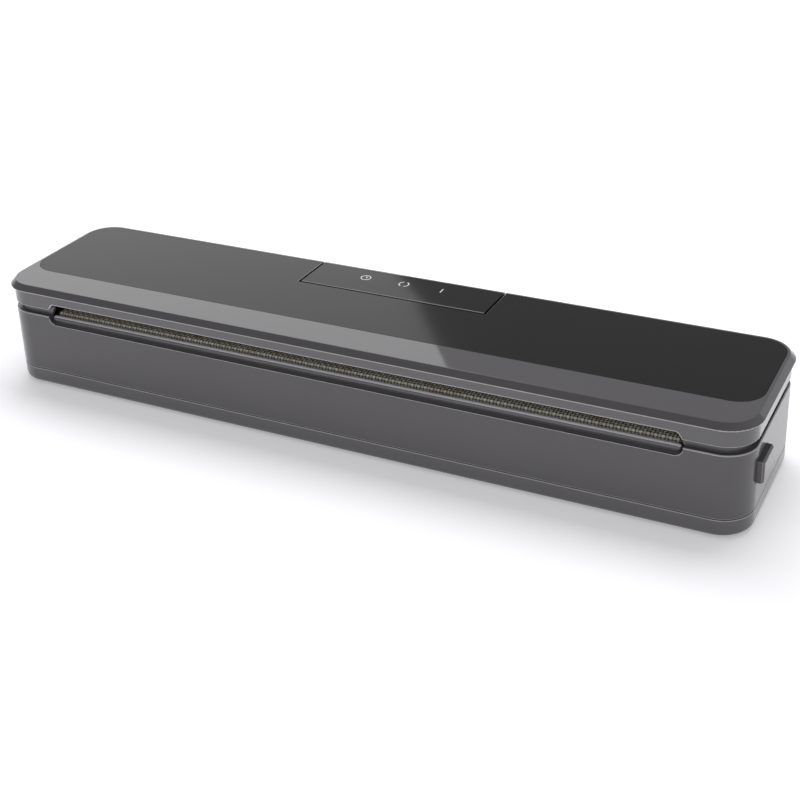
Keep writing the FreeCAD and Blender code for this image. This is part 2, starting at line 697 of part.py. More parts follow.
def bar_section(out, low):
    """The section of the sealing bar grown by out, down to height low, with a round front top edge."""
    front = BAR_FRONT - out
    high = BAR_TOP + out
    radius = BAR_NOSE_RADIUS + out
    turn = radius * (1 - math.sqrt(0.5))
    arc = Part.Arc(
        V(0, front, high - radius), V(0, front + turn, high - turn), V(0, front + radius, high)
    ).toShape()
    corners = [V(0, front + radius, high), V(0, BAR_REAR, high), V(0, BAR_REAR, low), V(0, front, low)]
    corners.append(V(0, front, high - radius))
    lines = [Part.makeLine(start, end) for start, end in zip(corners, corners[1:])]
    return Part.Wire([arc] + lines)


def bar_solid(half, out, low):
    """A sealing bar of half length half, grown by out."""
    face = Part.Face(bar_section(out, low))
    face.translate(V(-half, 0, 0))
    return face.extrude(V(2 * half, 0, 0))


def wire_slot(clearance):
    """The shallow groove along the top of the bar for the heating wire."""
    middle = (BAR_FRONT + BAR_REAR) / 2
    y = WIRE_WIDTH / 2 + clearance
    half = BAR_HALF - WIRE_INSET + clearance
    return box(-half, half, middle - y, middle + y, BAR_TOP - WIRE_THICKNESS, BAR_TOP)


def heater_bar():
    """The insulating bar under the heating wire."""
    return bar_solid(BAR_HALF, 0, BAR_SEAT).cut(wire_slot(FIT_CLEARANCE / 2))


def heating_wire():
    """The flat resistance wire in the top of the bar."""
    return wire_slot(0)


def sealing_tape():
    """The woven non-stick tape wrapped over the top and front of the bar."""
    low = BAR_TOP - TAPE_DROP
    sleeve = bar_solid(BAR_HALF - TAPE_INSET, TAPE_THICKNESS, low)
    return sleeve.cut(bar_solid(BAR_HALF, 0, low - 1))


def lower_gasket():
    """The foam ring around the chamber in the deck."""
    ring = gasket_ring(DECK_TOP - GASKET_GROOVE, LOWER_GASKET_TOP)
    return softened(ring, GASKET_EDGE_RADIUS, LOWER_GASKET_TOP)


def upper_gasket():
    """The foam ring in the lid that meets the lower one."""
    ring = gasket_ring(UPPER_GASKET_Z, COVER_Z + GASKET_GROOVE / 2)
    return softened(ring, GASKET_EDGE_RADIUS, UPPER_GASKET_Z)


def block_profile():
    """The section of the control block, with the same chamfered rim at the back as the lid."""
    ledge_y = HALF_DEPTH - INNER_RIM_INSET - INNER_RIM_WIDTH - FIT_CLEARANCE
    return [
        (BLOCK_FRONT, DECK_TOP),
        (BLOCK_FRONT, TOP_Z),
        (TOP_REAR, TOP_Z),
        (HALF_DEPTH + RIM_OVERHANG, RIM_Z),
        (HALF_DEPTH, RIM_ROOT_Z),
        (HALF_DEPTH, HOUSING_TOP),
        (ledge_y, HOUSING_TOP),
        (ledge_y, DECK_TOP),
    ]


def block_screw_places():
    """Where the control block is screwed to the deck."""
    inset = BLOCK_WALL + SCREW_HEAD_RADIUS + BOSS_GAP
    x = BLOCK_HALF - inset
    front = BLOCK_FRONT + inset
    back = POCKET_FRONT
    return [(x, front), (-x, front), (x, back), (-x, back)]


def control_block():
    """The fixed housing of the controls at the back of the deck, hollow from below."""
    block = bar_of_section(block_profile(), -BLOCK_HALF, BLOCK_HALF)
    block = softened(block, RIM_NOSE_RADIUS, RIM_Z)
    back_edge = [edge for edge in level_edges(block, TOP_Z) if edge.BoundBox.YMin > PANEL_REAR]
    block = block.makeFillet(TOP_EDGE_RADIUS, back_edge)
    ledge_y = HALF_DEPTH - INNER_RIM_INSET - INNER_RIM_WIDTH - FIT_CLEARANCE
    ceiling = PANEL_UNDER - BOARD_THICKNESS - BLOCK_WALL
    inner_x = BLOCK_HALF - BLOCK_WALL
    hollow = box(-inner_x, inner_x, BLOCK_FRONT + BLOCK_WALL, ledge_y - BLOCK_WALL, DECK_TOP - 1, ceiling)
    seat = box(-BLOCK_HALF, BLOCK_HALF, BLOCK_FRONT, PANEL_REAR + PANEL_CLEARANCE, PANEL_UNDER, TOP_Z + 1)
    board_room = touch_board_box(FIT_CLEARANCE, PANEL_UNDER + 1)
    block = block.cut([hollow, seat, board_room])
    bosses = []
    holes = []
    for x, y in block_screw_places():
        bosses.append(rod(BOSS_RADIUS, V(x, y, DECK_TOP), V(x, y, ceiling + 1)))
        hole = SCREW_RADIUS + SCREW_CLEARANCE
        holes.append(rod(hole, V(x, y, DECK_TOP - 1), V(x, y, DECK_UNDER + SCREW_LENGTH + 1)))
    return joined([block] + bosses).cut(holes)


def touch_board_box(clearance, top):
    """The room of the touch board under the control panel."""
    x = BLOCK_HALF - 2 * BLOCK_WALL + clearance
    front = BLOCK_FRONT + 2 * BLOCK_WALL - clearance
    back = PANEL_REAR - 2 * BLOCK_WALL + clearance
    return box(-x, x, front, back, PANEL_UNDER - BOARD_THICKNESS, top)


def touch_board():
    """The circuit board of the touch keys."""
    return touch_board_box(0, PANEL_UNDER)


def control_panel():
    """The gloss cover over the touch keys."""
    return box(-BLOCK_HALF, BLOCK_HALF, BLOCK_FRONT, PANEL_REAR, PANEL_UNDER, TOP_Z)


def block_screws():
    """The screws that hold the control block from below."""
    return [screw(V(x, y, DECK_UNDER), V(0, 0, 1)) for x, y in block_screw_places()]


def base_screws():
    """The screws that close the case from below."""
    return [screw(V(x, y, BOSS_MEET - SCREW_HEAD_HEIGHT), V(0, 0, 1)) for x, y in BOSS_PLACES]


def rubber_feet():
    """Four feet let into the base."""
    feet = []
    for x, y in FOOT_PLACES:
        foot = rod(FOOT_RADIUS, V(x, y, 0), V(x, y, BASE_Z + FOOT_SEAT))
        feet.append(softened(foot, FOOT_PROUD / 2, 0))
    return feet


def hinge_pins():
    """The two pins of the lid hinge."""
    reach = POCKET_WALL - PIN_END_GAP
    pin = rod(
        PIN_RADIUS,
        V(POCKET_INNER_X - reach, HINGE_Y, HINGE_Z),
        V(POCKET_OUTER_X + reach, HINGE_Y, HINGE_Z),
    )
    return both_ends(pin)


def lid_frame():
    """The outer shell of the lid: skirt, overhanging rim, recess for the panel, arch over the mouth."""
    skirt = softened(body_slab(0, SKIRT_Z, RIM_ROOT_Z), SKIRT_EDGE_RADIUS, SKIRT_Z)
    sections = [
        body_outline(0, RIM_ROOT_Z),
        body_outline(-RIM_OVERHANG, RIM_Z),
        body_outline(TOP_INSET, TOP_Z),
    ]
    rim = Part.makeLoft(sections, True, True)
    rim = softened(softened(rim, RIM_NOSE_RADIUS, RIM_Z), TOP_EDGE_RADIUS, TOP_Z)
    shell = skirt.fuse(rim).cut(body_slab(SKIRT_WIDTH, SKIRT_Z - 1, LID_CEILING))
    bosses = []
    holes = []
    for x, y in lid_screw_places():
        bosses.append(rod(BOSS_RADIUS, V(x, y, COVER_TOP), V(x, y, LID_CEILING + 1)))
        hole = SCREW_RADIUS + SCREW_CLEARANCE
        holes.append(rod(hole, V(x, y, COVER_Z), V(x, y, LID_CEILING + LID_HOLE_DEPTH)))
    recess = panel_slab(PANEL_CLEARANCE, PANEL_UNDER, TOP_Z + 1)
    return joined([shell] + bosses).cut([recess, block_hole(), mouth_arch()] + holes)


def mouth_arch():
    """The rise of the skirt over the bag mouth, with S-shaped ends."""
    low = SKIRT_Z
    out = ARCH_HALF + ARCH_RUN
    y = -HALF_DEPTH - RIM_OVERHANG - 1
    below = low - 1

    def end_curve(side):
        turn = ARCH_HALF + ARCH_RUN / 2
        poles = [(out, low), (turn, low + ARCH_SHOULDER), (turn, ARCH_Z), (ARCH_HALF, ARCH_Z)]
        curve = Part.BezierCurve()
        curve.setPoles([V(side * x, y, z) for x, z in poles])
        return curve.toShape()

    edges = [
        Part.makeLine(V(-out, y, below), V(-out, y, low)),
        end_curve(-1),
        Part.makeLine(V(-ARCH_HALF, y, ARCH_Z), V(ARCH_HALF, y, ARCH_Z)),
        end_curve(1),
        Part.makeLine(V(out, y, low), V(out, y, below)),
        Part.makeLine(V(out, y, below), V(-out, y, below)),
    ]
    outline = Part.Wire(Part.__sortEdges__(edges))
    return Part.Face(outline).extrude(V(0, RIM_OVERHANG + SKIRT_WIDTH + 2, 0))


def lid_panel():
    """The gloss panel let into the top of the lid."""
    return panel_slab(0, PANEL_UNDER, TOP_Z).cut(block_hole())


def lid_screw_places():
    """Where the inner cover is screwed to the lid frame."""
    inset = COVER_INSET + COVER_UPSTAND + BOSS_RADIUS + BOSS_GAP
    x = HALF_LENGTH - inset
    front = inset - HALF_DEPTH
    inner = BLOCK_HOLE_HALF + BOSS_RADIUS + REAR_SCREW_OFFSET
    middle = (TROUGH_FRONT + TROUGH_REAR) / 2
    back = HINGE_Y - BOSS_RADIUS
    places = [
        (inner, back),
        (x - CORNER_RADIUS, back),
        (x, middle + END_SCREW_OFFSET),
        ((BAR_HALF + x) / 2, front),
    ]
    return places + [(-px, py) for px, py in places]


def inner_cover():
    """The underside of the lid, with its upstand, gasket and strip grooves and switch finger."""
    plate = body_slab(COVER_INSET, COVER_Z, COVER_TOP)
    upstand = body_ring(COVER_INSET, COVER_UPSTAND, COVER_TOP, LID_CEILING)
    strip_half = BAR_HALF + FIT_CLEARANCE
    groove_top = COVER_Z + GASKET_GROOVE / 2
    strip_front = BAR_FRONT - FIT_CLEARANCE
    strip_rear = BAR_REAR + FIT_CLEARANCE
    strip_groove = box(-strip_half, strip_half, strip_front, strip_rear, COVER_Z - 1, groove_top)
    finger = rod(
        FINGER_WIDTH / 2,
        V(SWITCH_X, SWITCH_Y, DECK_TOP + PLUNGER_PROUD + FINGER_GAP),
        V(SWITCH_X, SWITCH_Y, COVER_Z + 1),
    )
    removed = [gasket_ring(COVER_Z - 1, groove_top, FIT_CLEARANCE / 2), strip_groove, block_hole()]
    for x, y in lid_screw_places():
        hole = SCREW_RADIUS + SCREW_CLEARANCE
        removed.append(rod(hole, V(x, y, COVER_Z - 1), V(x, y, COVER_TOP + 1)))
    for x, y in arm_screw_places():
        hole = SCREW_RADIUS + SCREW_CLEARANCE
        removed.append(rod(hole, V(x, y, COVER_Z - 1), V(x, y, COVER_TOP + 1)))
    return joined([plate, upstand, finger]).cut(removed)


def pressure_strip():
    """The soft strip in the lid that presses the bag on the sealing bar."""
    low = BAR_TOP + PRESSURE_STRIP_GAP
    strip = box(-BAR_HALF, BAR_HALF, BAR_FRONT, BAR_REAR, low, COVER_Z + GASKET_GROOVE / 2)
    return softened(strip, GASKET_EDGE_RADIUS, low)


def lid_hook():
    """The right hook of the lid: an arm with a barb at its foot, below a pad on the inner cover."""
    y0 = BUTTON_Y - HOOK_WIDTH / 2
    y1 = BUTTON_Y + HOOK_WIDTH / 2
    outer_x = HOOK_INNER_X + HOOK_THICKNESS
    tip_x = HOOK_INNER_X - CATCH_NOSE
    section = [
        (outer_x, COVER_Z),
        (outer_x, HOOK_Z),
        (HOOK_INNER_X, HOOK_Z),
        (tip_x, HOOK_Z + HOOK_LEAD),
        (tip_x, HOOK_Z + HOOK_BARB),
        (HOOK_INNER_X, HOOK_Z + HOOK_BARB),
        (HOOK_INNER_X, COVER_Z),
    ]
    corners = [V(x, y0, z) for x, z in section]
    arm = Part.Face(Part.makePolygon(corners + corners[:1])).extrude(V(0, y1 - y0, 0))
    root_x = HOOK_INNER_X - HOOK_ROOT_LIP
    root = box(root_x, outer_x + HOOK_ROOT_LIP, y0, y1, COVER_Z - HOOK_ROOT, COVER_Z)
    return joined([arm, root])


def lid_hooks():
    """The hooks at both ends of the lid."""
    return both_ends(lid_hook())


def arm_screw_places():
    """Where the hinge arms are screwed to the inner cover."""
    x = ARM_INNER_X + ARM_WIDTH / 2
    y = HINGE_Y - ARM_DEPTH / 2 - ARM_FOOT_LENGTH / 2
    return [(x, y), (-x, y)]


def hinge_arm():
    """The right hinge arm: a screwed foot under the inner cover, a leg and an eye around the pin."""
    x0 = ARM_INNER_X
    x1 = ARM_INNER_X + ARM_WIDTH
    y0 = HINGE_Y - ARM_DEPTH / 2
    y1 = HINGE_Y + ARM_DEPTH / 2
    leg = box(x0, x1, y0, y1, HINGE_Z, COVER_Z)
    eye = rod(ARM_EYE_RADIUS, V(x0, HINGE_Y, HINGE_Z), V(x1, HINGE_Y, HINGE_Z))
    foot = box(x0, x1, y0 - ARM_FOOT_LENGTH, y1, COVER_Z - ARM_FOOT_THICKNESS, COVER_Z)
    bore = rod(PIN_RADIUS + PIN_RUNNING, V(x0 - 1, HINGE_Y, HINGE_Z), V(x1 + 1, HINGE_Y, HINGE_Z))
    x, y = arm_screw_places()[0]
    hole = rod(SCREW_RADIUS + SCREW_CLEARANCE, V(x, y, 0), V(x, y, COVER_Z + 1))
    return joined([leg, eye, foot]).cut([bore, hole])


def hinge_arms():
    """Both hinge arms."""
    return both_ends(hinge_arm())


def lid_screws():
    """The screws of the inner cover and of the hinge arms, driven from below."""
    reach = LID_CEILING - COVER_Z
    screws = [screw(V(x, y, COVER_Z), V(0, 0, 1), reach) for x, y in lid_screw_places()]
    low = COVER_Z - ARM_FOOT_THICKNESS
    return screws + [screw(V(x, y, low), V(0, 0, 1), reach) for x, y in arm_screw_places()]


def release_button():
    """The right release button: chamfered cap, retaining flange and the sliding frame with the catch."""
    y = BUTTON_LENGTH / 2
    z = BUTTON_HEIGHT / 2
    face_x = HALF_LENGTH + BUTTON_PROUD
    flange_x = HALF_LENGTH - WALL - FLANGE_GAP
    root_x = flange_x - FLANGE_THICKNESS
    cap = box(root_x, face_x, BUTTON_Y - y, BUTTON_Y + y, BUTTON_Z - z, BUTTON_Z + z)
    outer_edges = [edge for edge in cap.Edges if edge.BoundBox.XMin > face_x - TOLERANCE]
    cap = cap.makeChamfer(BUTTON_CHAMFER, outer_edges)
    flange_y = y + FLANGE_LIP
    flange_z = z + FLANGE_LIP
    flange = box(
        root_x, flange_x, BUTTON_Y - flange_y, BUTTON_Y + flange_y, BUTTON_Z - flange_z, BUTTON_Z + flange_z
    )
    inner_y = HOOK_WIDTH / 2 + HOOK_SIDE_GAP
    outer_y = inner_y + SLIDER_BAR
    low = BUTTON_Z - SLIDER_HEIGHT / 2
    high = BUTTON_Z + SLIDER_HEIGHT / 2
    frame_end = root_x + FLANGE_THICKNESS / 2
    frame = box(SLIDER_BACK, frame_end, BUTTON_Y - outer_y, BUTTON_Y + outer_y, low, high)
    frame = frame.cut(
        box(SLIDER_BACK + SLIDER_BAR, root_x, BUTTON_Y - inner_y, BUTTON_Y + inner_y, low - 1, high + 1)
    )
    catch_y = HOOK_WIDTH / 2
    wall = box(
        SLIDER_BACK, SLIDER_BACK + SLIDER_BAR, BUTTON_Y - catch_y, BUTTON_Y + catch_y, low, CATCH_TOP
    )
    nose = box(
        SLIDER_BACK, CATCH_X, BUTTON_Y - catch_y, BUTTON_Y + catch_y, CATCH_TOP - CATCH_THICKNESS, CATCH_TOP
    )
    return joined([cap, flange, frame, wall, nose])


def button_spring():
    """The right return spring, a coil between the post on the trough and the back of the slider."""
    end_gap = SPRING_WIRE + SPRING_END_GAP
    start = TROUGH_HALF + TROUGH_WALL + end_gap
    length = SLIDER_BACK - end_gap - start
    path = Part.makeHelix(length / SPRING_TURNS, length, SPRING_RADIUS)
    section = Part.Wire(Part.makeCircle(SPRING_WIRE, V(SPRING_RADIUS, 0, 0), V(0, 1, 0)))
    coil = Part.Wire(path.Edges).makePipeShell([section], True, True)
    coil.rotate(V(0, 0, 0), V(0, 1, 0), 90)
    coil.translate(V(start, BUTTON_Y, BUTTON_Z))
    return coil


def switch_plunger():
    """The pin of the lid switch that the lid pushes down."""
    foot = DECK_UNDER
    pin = rod(PLUNGER_RADIUS, V(SWITCH_X, SWITCH_Y, foot), V(SWITCH_X, SWITCH_Y, DECK_TOP + PLUNGER_PROUD))
    return softened(pin, PLUNGER_RADIUS / 2, DECK_TOP + PLUNGER_PROUD)


def lid_switch():
    """The switch body under the deck, with a well for its plunger."""
    x = SWITCH_WIDTH / 2
    y = SWITCH_LENGTH / 2
    foot = DECK_UNDER - SWITCH_HEIGHT
    body = box(SWITCH_X - x, SWITCH_X + x, SWITCH_Y - y, SWITCH_Y + y, foot, DECK_UNDER)
    radius = PLUNGER_RADIUS + PLUNGER_CLEARANCE
    low = DECK_UNDER - SWITCH_HEIGHT / 2
    well = rod(radius, V(SWITCH_X, SWITCH_Y, low), V(SWITCH_X, SWITCH_Y, DECK_UNDER + 1))
    return body.cut(well)


def pump_head():
    """The pump chamber with its inlet spigot on the side of the hose."""
    half = HEAD_SIDE / 2
    block = pad(-half, half, -half, half, HEAD_EDGE_RADIUS, 0, HEAD_LENGTH)
    block.rotate(V(0, 0, 0), V(0, 1, 0), 90)
    block.translate(V(PUMP_X, PUMP_Y, PUMP_Z))
    spigot = rod(SPIGOT_RADIUS, V(PUMP_X - SPIGOT_LENGTH, PUMP_Y, PORT_Z), V(PUMP_X + 1, PUMP_Y, PORT_Z))
    bore_end = V(PUMP_X + SPIGOT_BORE_DEPTH, PUMP_Y, PORT_Z)
    bore = rod(SPIGOT_BORE, V(PUMP_X - SPIGOT_LENGTH - 1, PUMP_Y, PORT_Z), bore_end)
    return joined([block, spigot]).cut(bore)


def pump_motor():
    """The motor can with its neck towards the pump head and its rear bearing cup."""
    neck_x = PUMP_X + HEAD_LENGTH
    end = MOTOR_X + MOTOR_LENGTH
    can = rod(MOTOR_RADIUS, V(MOTOR_X, PUMP_Y, PUMP_Z), V(end, PUMP_Y, PUMP_Z))
    neck = rod(MOTOR_NECK_RADIUS, V(neck_x, PUMP_Y, PUMP_Z), V(MOTOR_X, PUMP_Y, PUMP_Z))
    cup = rod(MOTOR_NECK_RADIUS, V(end, PUMP_Y, PUMP_Z), V(end + MOTOR_NECK_LENGTH, PUMP_Y, PUMP_Z))
    return joined([can, neck, cup])


def pump_mounts():
    """Two rubber collars around the motor."""
    collars = []
    half = MOUNT_WIDTH / 2
    for x in mount_places():
        ends = (V(x - half, PUMP_Y, PUMP_Z), V(x + half, PUMP_Y, PUMP_Z))
        collars.append(rod(MOTOR_RADIUS + MOUNT_THICKNESS, *ends).cut(rod(MOTOR_RADIUS, *ends)))
    return collars


def chamber_nozzle():
    """The suction spigot through the back wall of the trough."""
    back = TROUGH_REAR_FACE + NOZZLE_FLANGE_THICKNESS
    start = V(NOZZLE_X, TROUGH_REAR, PORT_Z)
    flange_start = V(NOZZLE_X, TROUGH_REAR_FACE, PORT_Z)
    flange = rod(NOZZLE_FLANGE, flange_start, V(NOZZLE_X, back, PORT_Z))
    spigot = rod(SPIGOT_RADIUS, start, V(NOZZLE_X, back + SPIGOT_LENGTH, PORT_Z))
    bore = rod(SPIGOT_BORE, start - V(0, 1, 0), V(NOZZLE_X, back + SPIGOT_LENGTH + 1, PORT_Z))
    return joined([flange, spigot]).cut(bore)


def hose_run(radius):
    """A round bar along the route of the air hose: two straights joined by a quarter bend."""
    start = V(NOZZLE_X, TROUGH_REAR_FACE + NOZZLE_FLANGE_THICKNESS, PORT_Z)
    end = V(PUMP_X, PUMP_Y, PORT_Z)
    bend_start = V(NOZZLE_X, PUMP_Y - HOSE_BEND, PORT_Z)
    bend_end = V(NOZZLE_X + HOSE_BEND, PUMP_Y, PORT_Z)
    turn = HOSE_BEND * (1 - math.sqrt(0.5))
    bend_middle = V(NOZZLE_X + turn, PUMP_Y - turn, PORT_Z)
    path = Part.Wire([
        Part.makeLine(start, bend_start),
        Part.Arc(bend_start, bend_middle, bend_end).toShape(),
        Part.makeLine(bend_end, end),
    ])
    section = Part.Wire(Part.makeCircle(radius, start, V(0, 1, 0)))
    return path.makePipeShell([section], True, False)


def air_hose():
    """The hose from the chamber to the pump."""
    return hose_run(HOSE_RADIUS).cut(hose_run(HOSE_BORE))


def on_board(x, y, length, width, height):
    """A block on the main board, centred at x and y."""
    top = BOARD_Z + BOARD_THICKNESS
    return box(x - length / 2, x + length / 2, y - width / 2, y + width / 2, top, top + height)


def main_board():
    """The circuit board on its pegs, with its relay, capacitor and terminal block."""
    top = BOARD_Z + BOARD_THICKNESS
    board = box(-BOARD_HALF, BOARD_HALF, BOARD_FRONT, BOARD_REAR, BOARD_Z, top)
    middle = (BOARD_FRONT + BOARD_REAR) / 2
    relay_x = -BOARD_HALF / 2
    relay = on_board(relay_x, middle, RELAY_LENGTH, RELAY_WIDTH, RELAY_HEIGHT)
    terminals = on_board(-relay_x, middle, TERMINAL_LENGTH, TERMINAL_WIDTH, TERMINAL_HEIGHT)
    capacitor = rod(CAPACITOR_RADIUS, V(0, middle, top), V(0, middle, top + CAPACITOR_HEIGHT))
    holes = []
    for x, y in peg_places():
        holes.append(rod(PEG_RADIUS + FIT_CLEARANCE / 2, V(x, y, BOARD_Z - 1), V(x, y, top + 1)))
    return joined([board, relay, terminals, capacitor]).cut(holes)


def coil_leg(out):
    """The centre leg of the transformer core, grown by out."""
    y = CORE_STACK / 2 + out
    x = CORE_LEG / 2 + out
    low = FLOOR_TOP + CORE_LEG - out
    high = FLOOR_TOP + CORE_HEIGHT - CORE_LEG + out
    return box(CORE_X - x, CORE_X + x, PUMP_Y - y, PUMP_Y + y, low, high)


def transformer_core():
    """The laminated core with its two windows."""
    half = CORE_LENGTH / 2
    y = CORE_STACK / 2
    core = box(CORE_X - half, CORE_X + half, PUMP_Y - y, PUMP_Y + y, FLOOR_TOP, FLOOR_TOP + CORE_HEIGHT)
    window = (CORE_LENGTH - 3 * CORE_LEG) / 2
    low = FLOOR_TOP + CORE_LEG
    high = FLOOR_TOP + CORE_HEIGHT - CORE_LEG
    windows = []
    for x0 in (CORE_X - CORE_LEG / 2 - window, CORE_X + CORE_LEG / 2):
        windows.append(box(x0, x0 + window, PUMP_Y - y - 1, PUMP_Y + y + 1, low, high))
    return core.cut(windows)


def transformer_coil():
    """The winding around the centre leg."""
    window = (CORE_LENGTH - 3 * CORE_LEG) / 2
    x = CORE_LEG / 2 + window - COIL_CLEARANCE
    y = CORE_STACK / 2 + COIL_BULGE
    low = FLOOR_TOP + CORE_LEG + COIL_CLEARANCE
    high = FLOOR_TOP + CORE_HEIGHT - CORE_LEG - COIL_CLEARANCE
    coil = pad(CORE_X - x, CORE_X + x, PUMP_Y - y, PUMP_Y + y, COIL_BULGE, low, high)
    return coil.cut(coil_leg(COIL_CLEARANCE))


def power_inlet():
    """The two-pin power inlet in the back wall: flanged body, figure-eight socket and pins."""
    x = INLET_LENGTH / 2
    z = INLET_HEIGHT / 2
    face = HALF_DEPTH
    inner = HALF_DEPTH - WALL
    body = box(INLET_X - x, INLET_X + x, face - INLET_BODY, face, INLET_Z - z, INLET_Z + z)
    flange_x = x + INLET_FLANGE
    flange_z = z + INLET_FLANGE
    back = inner - INLET_WALL
    flange = box(
        INLET_X - flange_x, INLET_X + flange_x, back, inner, INLET_Z - flange_z, INLET_Z + flange_z
    )
    radius = z - INLET_WALL
    floor_y = face - INLET_BODY + INLET_WALL
    lobes = []
    pins = []
    for side in (-1, 1):
        lobe_x = INLET_X + side * (x - INLET_WALL - radius)
        lobes.append(rod(radius, V(lobe_x, floor_y, INLET_Z), V(lobe_x, face + 1, INLET_Z)))
        pin_x = INLET_X + side * INLET_PIN_SPACING / 2
        tip = V(pin_x, face - INLET_PIN_SETBACK, INLET_Z)
        pins.append(rod(INLET_PIN_RADIUS, V(pin_x, floor_y - INLET_WALL / 2, INLET_Z), tip))
    waist = x - INLET_WALL - radius
    low = radius * INLET_WAIST_SHARE
    lobes.append(box(INLET_X - waist, INLET_X + waist, floor_y, face + 1, INLET_Z - low, INLET_Z + low))
    return joined([joined([body, flange]).cut(lobes)] + pins)


def parts():
    """Every node of the object with its solid or group of solids."""
    button = release_button()
    spring = button_spring()
    return {
        "base_tray": base_tray(),
        "main_housing": main_housing(),
        "drip_tray": drip_tray(),
        "lower_gasket": lower_gasket(),
        "heater_bar": heater_bar(),
        "heating_wire": heating_wire(),
        "sealing_tape": sealing_tape(),
        "control_block": control_block(),
        "control_panel": control_panel(),
        "touch_board": touch_board(),
        "main_board": main_board(),
        "transformer_core": transformer_core(),
        "transformer_coil": transformer_coil(),
        "pump_motor": pump_motor(),
        "pump_head": pump_head(),
        "pump_mounts": Part.makeCompound(pump_mounts()),
        "air_hose": air_hose(),
        "chamber_nozzle": chamber_nozzle(),
        "lid_switch": lid_switch(),
        "switch_plunger": switch_plunger(),
        "hinge_pins": Part.makeCompound(hinge_pins()),
        "power_inlet": power_inlet(),
        "rubber_feet": Part.makeCompound(rubber_feet()),
        "base_screws": Part.makeCompound(base_screws()),
        "block_screws": Part.makeCompound(block_screws()),
        "lid_frame": lid_frame(),
        "lid_panel": lid_panel(),
        "inner_cover": inner_cover(),
        "upper_gasket": upper_gasket(),
        "pressure_strip": pressure_strip(),
        "lid_hooks": Part.makeCompound(lid_hooks()),
        "hinge_arms": Part.makeCompound(hinge_arms()),
        "lid_screws": Part.makeCompound(lid_screws()),
        "release_button_right": button,
        "release_button_left": mirrored(button),
        "button_spring_right": spring,
        "button_spring_left": mirrored(spring),
    }


def main():
    """Write every node to its own file."""
    os.makedirs("parts", exist_ok=True)
    for name, shape in parts().items():
        shape.exportStep("parts/" + name + ".step")
        print(name, len(shape.Solids), shape.isValid(), round(shape.Volume))


main()
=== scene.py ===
"""A vacuum sealer for film bags: fine pieces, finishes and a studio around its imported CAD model."""
import logging
import math
from dataclasses import dataclass, replace
from enum import Enum
from typing import Any, Dict, Iterable, List, Optional, Sequence, Tuple

import bmesh
import bpy
from mathutils import Matrix, Vector


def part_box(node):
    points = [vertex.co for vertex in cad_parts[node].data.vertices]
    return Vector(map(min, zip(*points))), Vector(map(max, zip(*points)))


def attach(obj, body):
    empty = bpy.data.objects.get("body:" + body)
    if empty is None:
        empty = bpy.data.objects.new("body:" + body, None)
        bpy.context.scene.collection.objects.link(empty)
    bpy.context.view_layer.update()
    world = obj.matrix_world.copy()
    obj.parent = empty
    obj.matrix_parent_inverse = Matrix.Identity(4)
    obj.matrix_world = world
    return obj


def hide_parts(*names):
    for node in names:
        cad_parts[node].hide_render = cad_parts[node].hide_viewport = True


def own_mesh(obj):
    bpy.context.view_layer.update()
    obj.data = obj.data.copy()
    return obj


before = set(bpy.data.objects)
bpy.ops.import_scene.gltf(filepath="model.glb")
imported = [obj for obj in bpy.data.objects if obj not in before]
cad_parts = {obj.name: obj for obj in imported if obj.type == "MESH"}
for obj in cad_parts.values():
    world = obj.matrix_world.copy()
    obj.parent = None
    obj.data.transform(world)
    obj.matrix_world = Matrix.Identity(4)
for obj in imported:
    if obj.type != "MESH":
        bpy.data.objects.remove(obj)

LOG = logging.getLogger("vacuum_sealer")
MM = 0.001
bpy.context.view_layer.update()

Point = Tuple[float, float]
Span = Tuple[float, float]
Place = Tuple[float, float, float]
Corners = Tuple[Vector, Vector]
Feeds = Dict[Any, Any]
Materials = Dict[str, bpy.types.Material]

EVERYWHERE: Span = (-400.0, 400.0)
# Sockets of a Mix node, which share their names.
SHARE, VALUE_A, VALUE_B, COLOR_A, COLOR_B = 0, 2, 3, 6, 7
# Width in millimetres of the slow drift of a moulded or painted colour.
CLOUD = 60.0


class Body(Enum):
    """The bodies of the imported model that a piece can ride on."""

    HOUSING = "housing"
    LID = "lid"
    RIGHT_BUTTON = "right_button"
    LEFT_BUTTON = "left_button"


class Side(Enum):
    """An end of the object, as a sign along X."""

    RIGHT = 1
    LEFT = -1


class Mark(Enum):
    """The printed mark of a touch key."""

    HANDS = "hands"
    ARCS = "arcs"
    BAR = "bar"


def linear(code: str) -> Tuple[float, float, float, float]:
    """Turn an sRGB hex colour into linear values.

    Args:
        code: Six hex digits.

    Returns:
        Red, green, blue and an alpha of one.
    """
    parts = [int(code[i:i + 2], 16) / 255 for i in (0, 2, 4)]
    red, green, blue = [c / 12.92 if c <= 0.04045 else ((c + 0.055) / 1.055) ** 2.4 for c in parts]
    return red, green, blue, 1.0


def shade(code: str, share: float) -> Tuple[float, ...]:
    """A hex colour made darker or lighter by a share."""
    return tuple(channel * share for channel in linear(code)[:3]) + (1.0,)


def per_mm(size: float) -> float:
    """Texture scale, in repeats per metre, of a pattern whose feature is size millimetres wide."""
    return 1.0 / (size * MM)


def add(tree: bpy.types.NodeTree, kind: str, feeds: Optional[Feeds] = None,
        **settings: Any) -> bpy.types.Node:
    """Add a node with its settings, and feed its inputs from values or sockets.

    Args:
        tree: The tree that gets the node.
        kind: The node's type name.
        feeds: Input name or number, with a value, an output socket or a node.
        **settings: Attributes of the node.

    Returns:
        The new node.
    """
    made = tree.nodes.new(kind)
    for key, value in settings.items():
        setattr(made, key, value)
    for key, value in (feeds or {}).items():
        if isinstance(value, bpy.types.Node):
            value = next(out for out in value.outputs if out.enabled)
        if isinstance(value, bpy.types.NodeSocket):
            tree.links.new(value, made.inputs[key])
        else:
            made.inputs[key].default_value = value
    return made


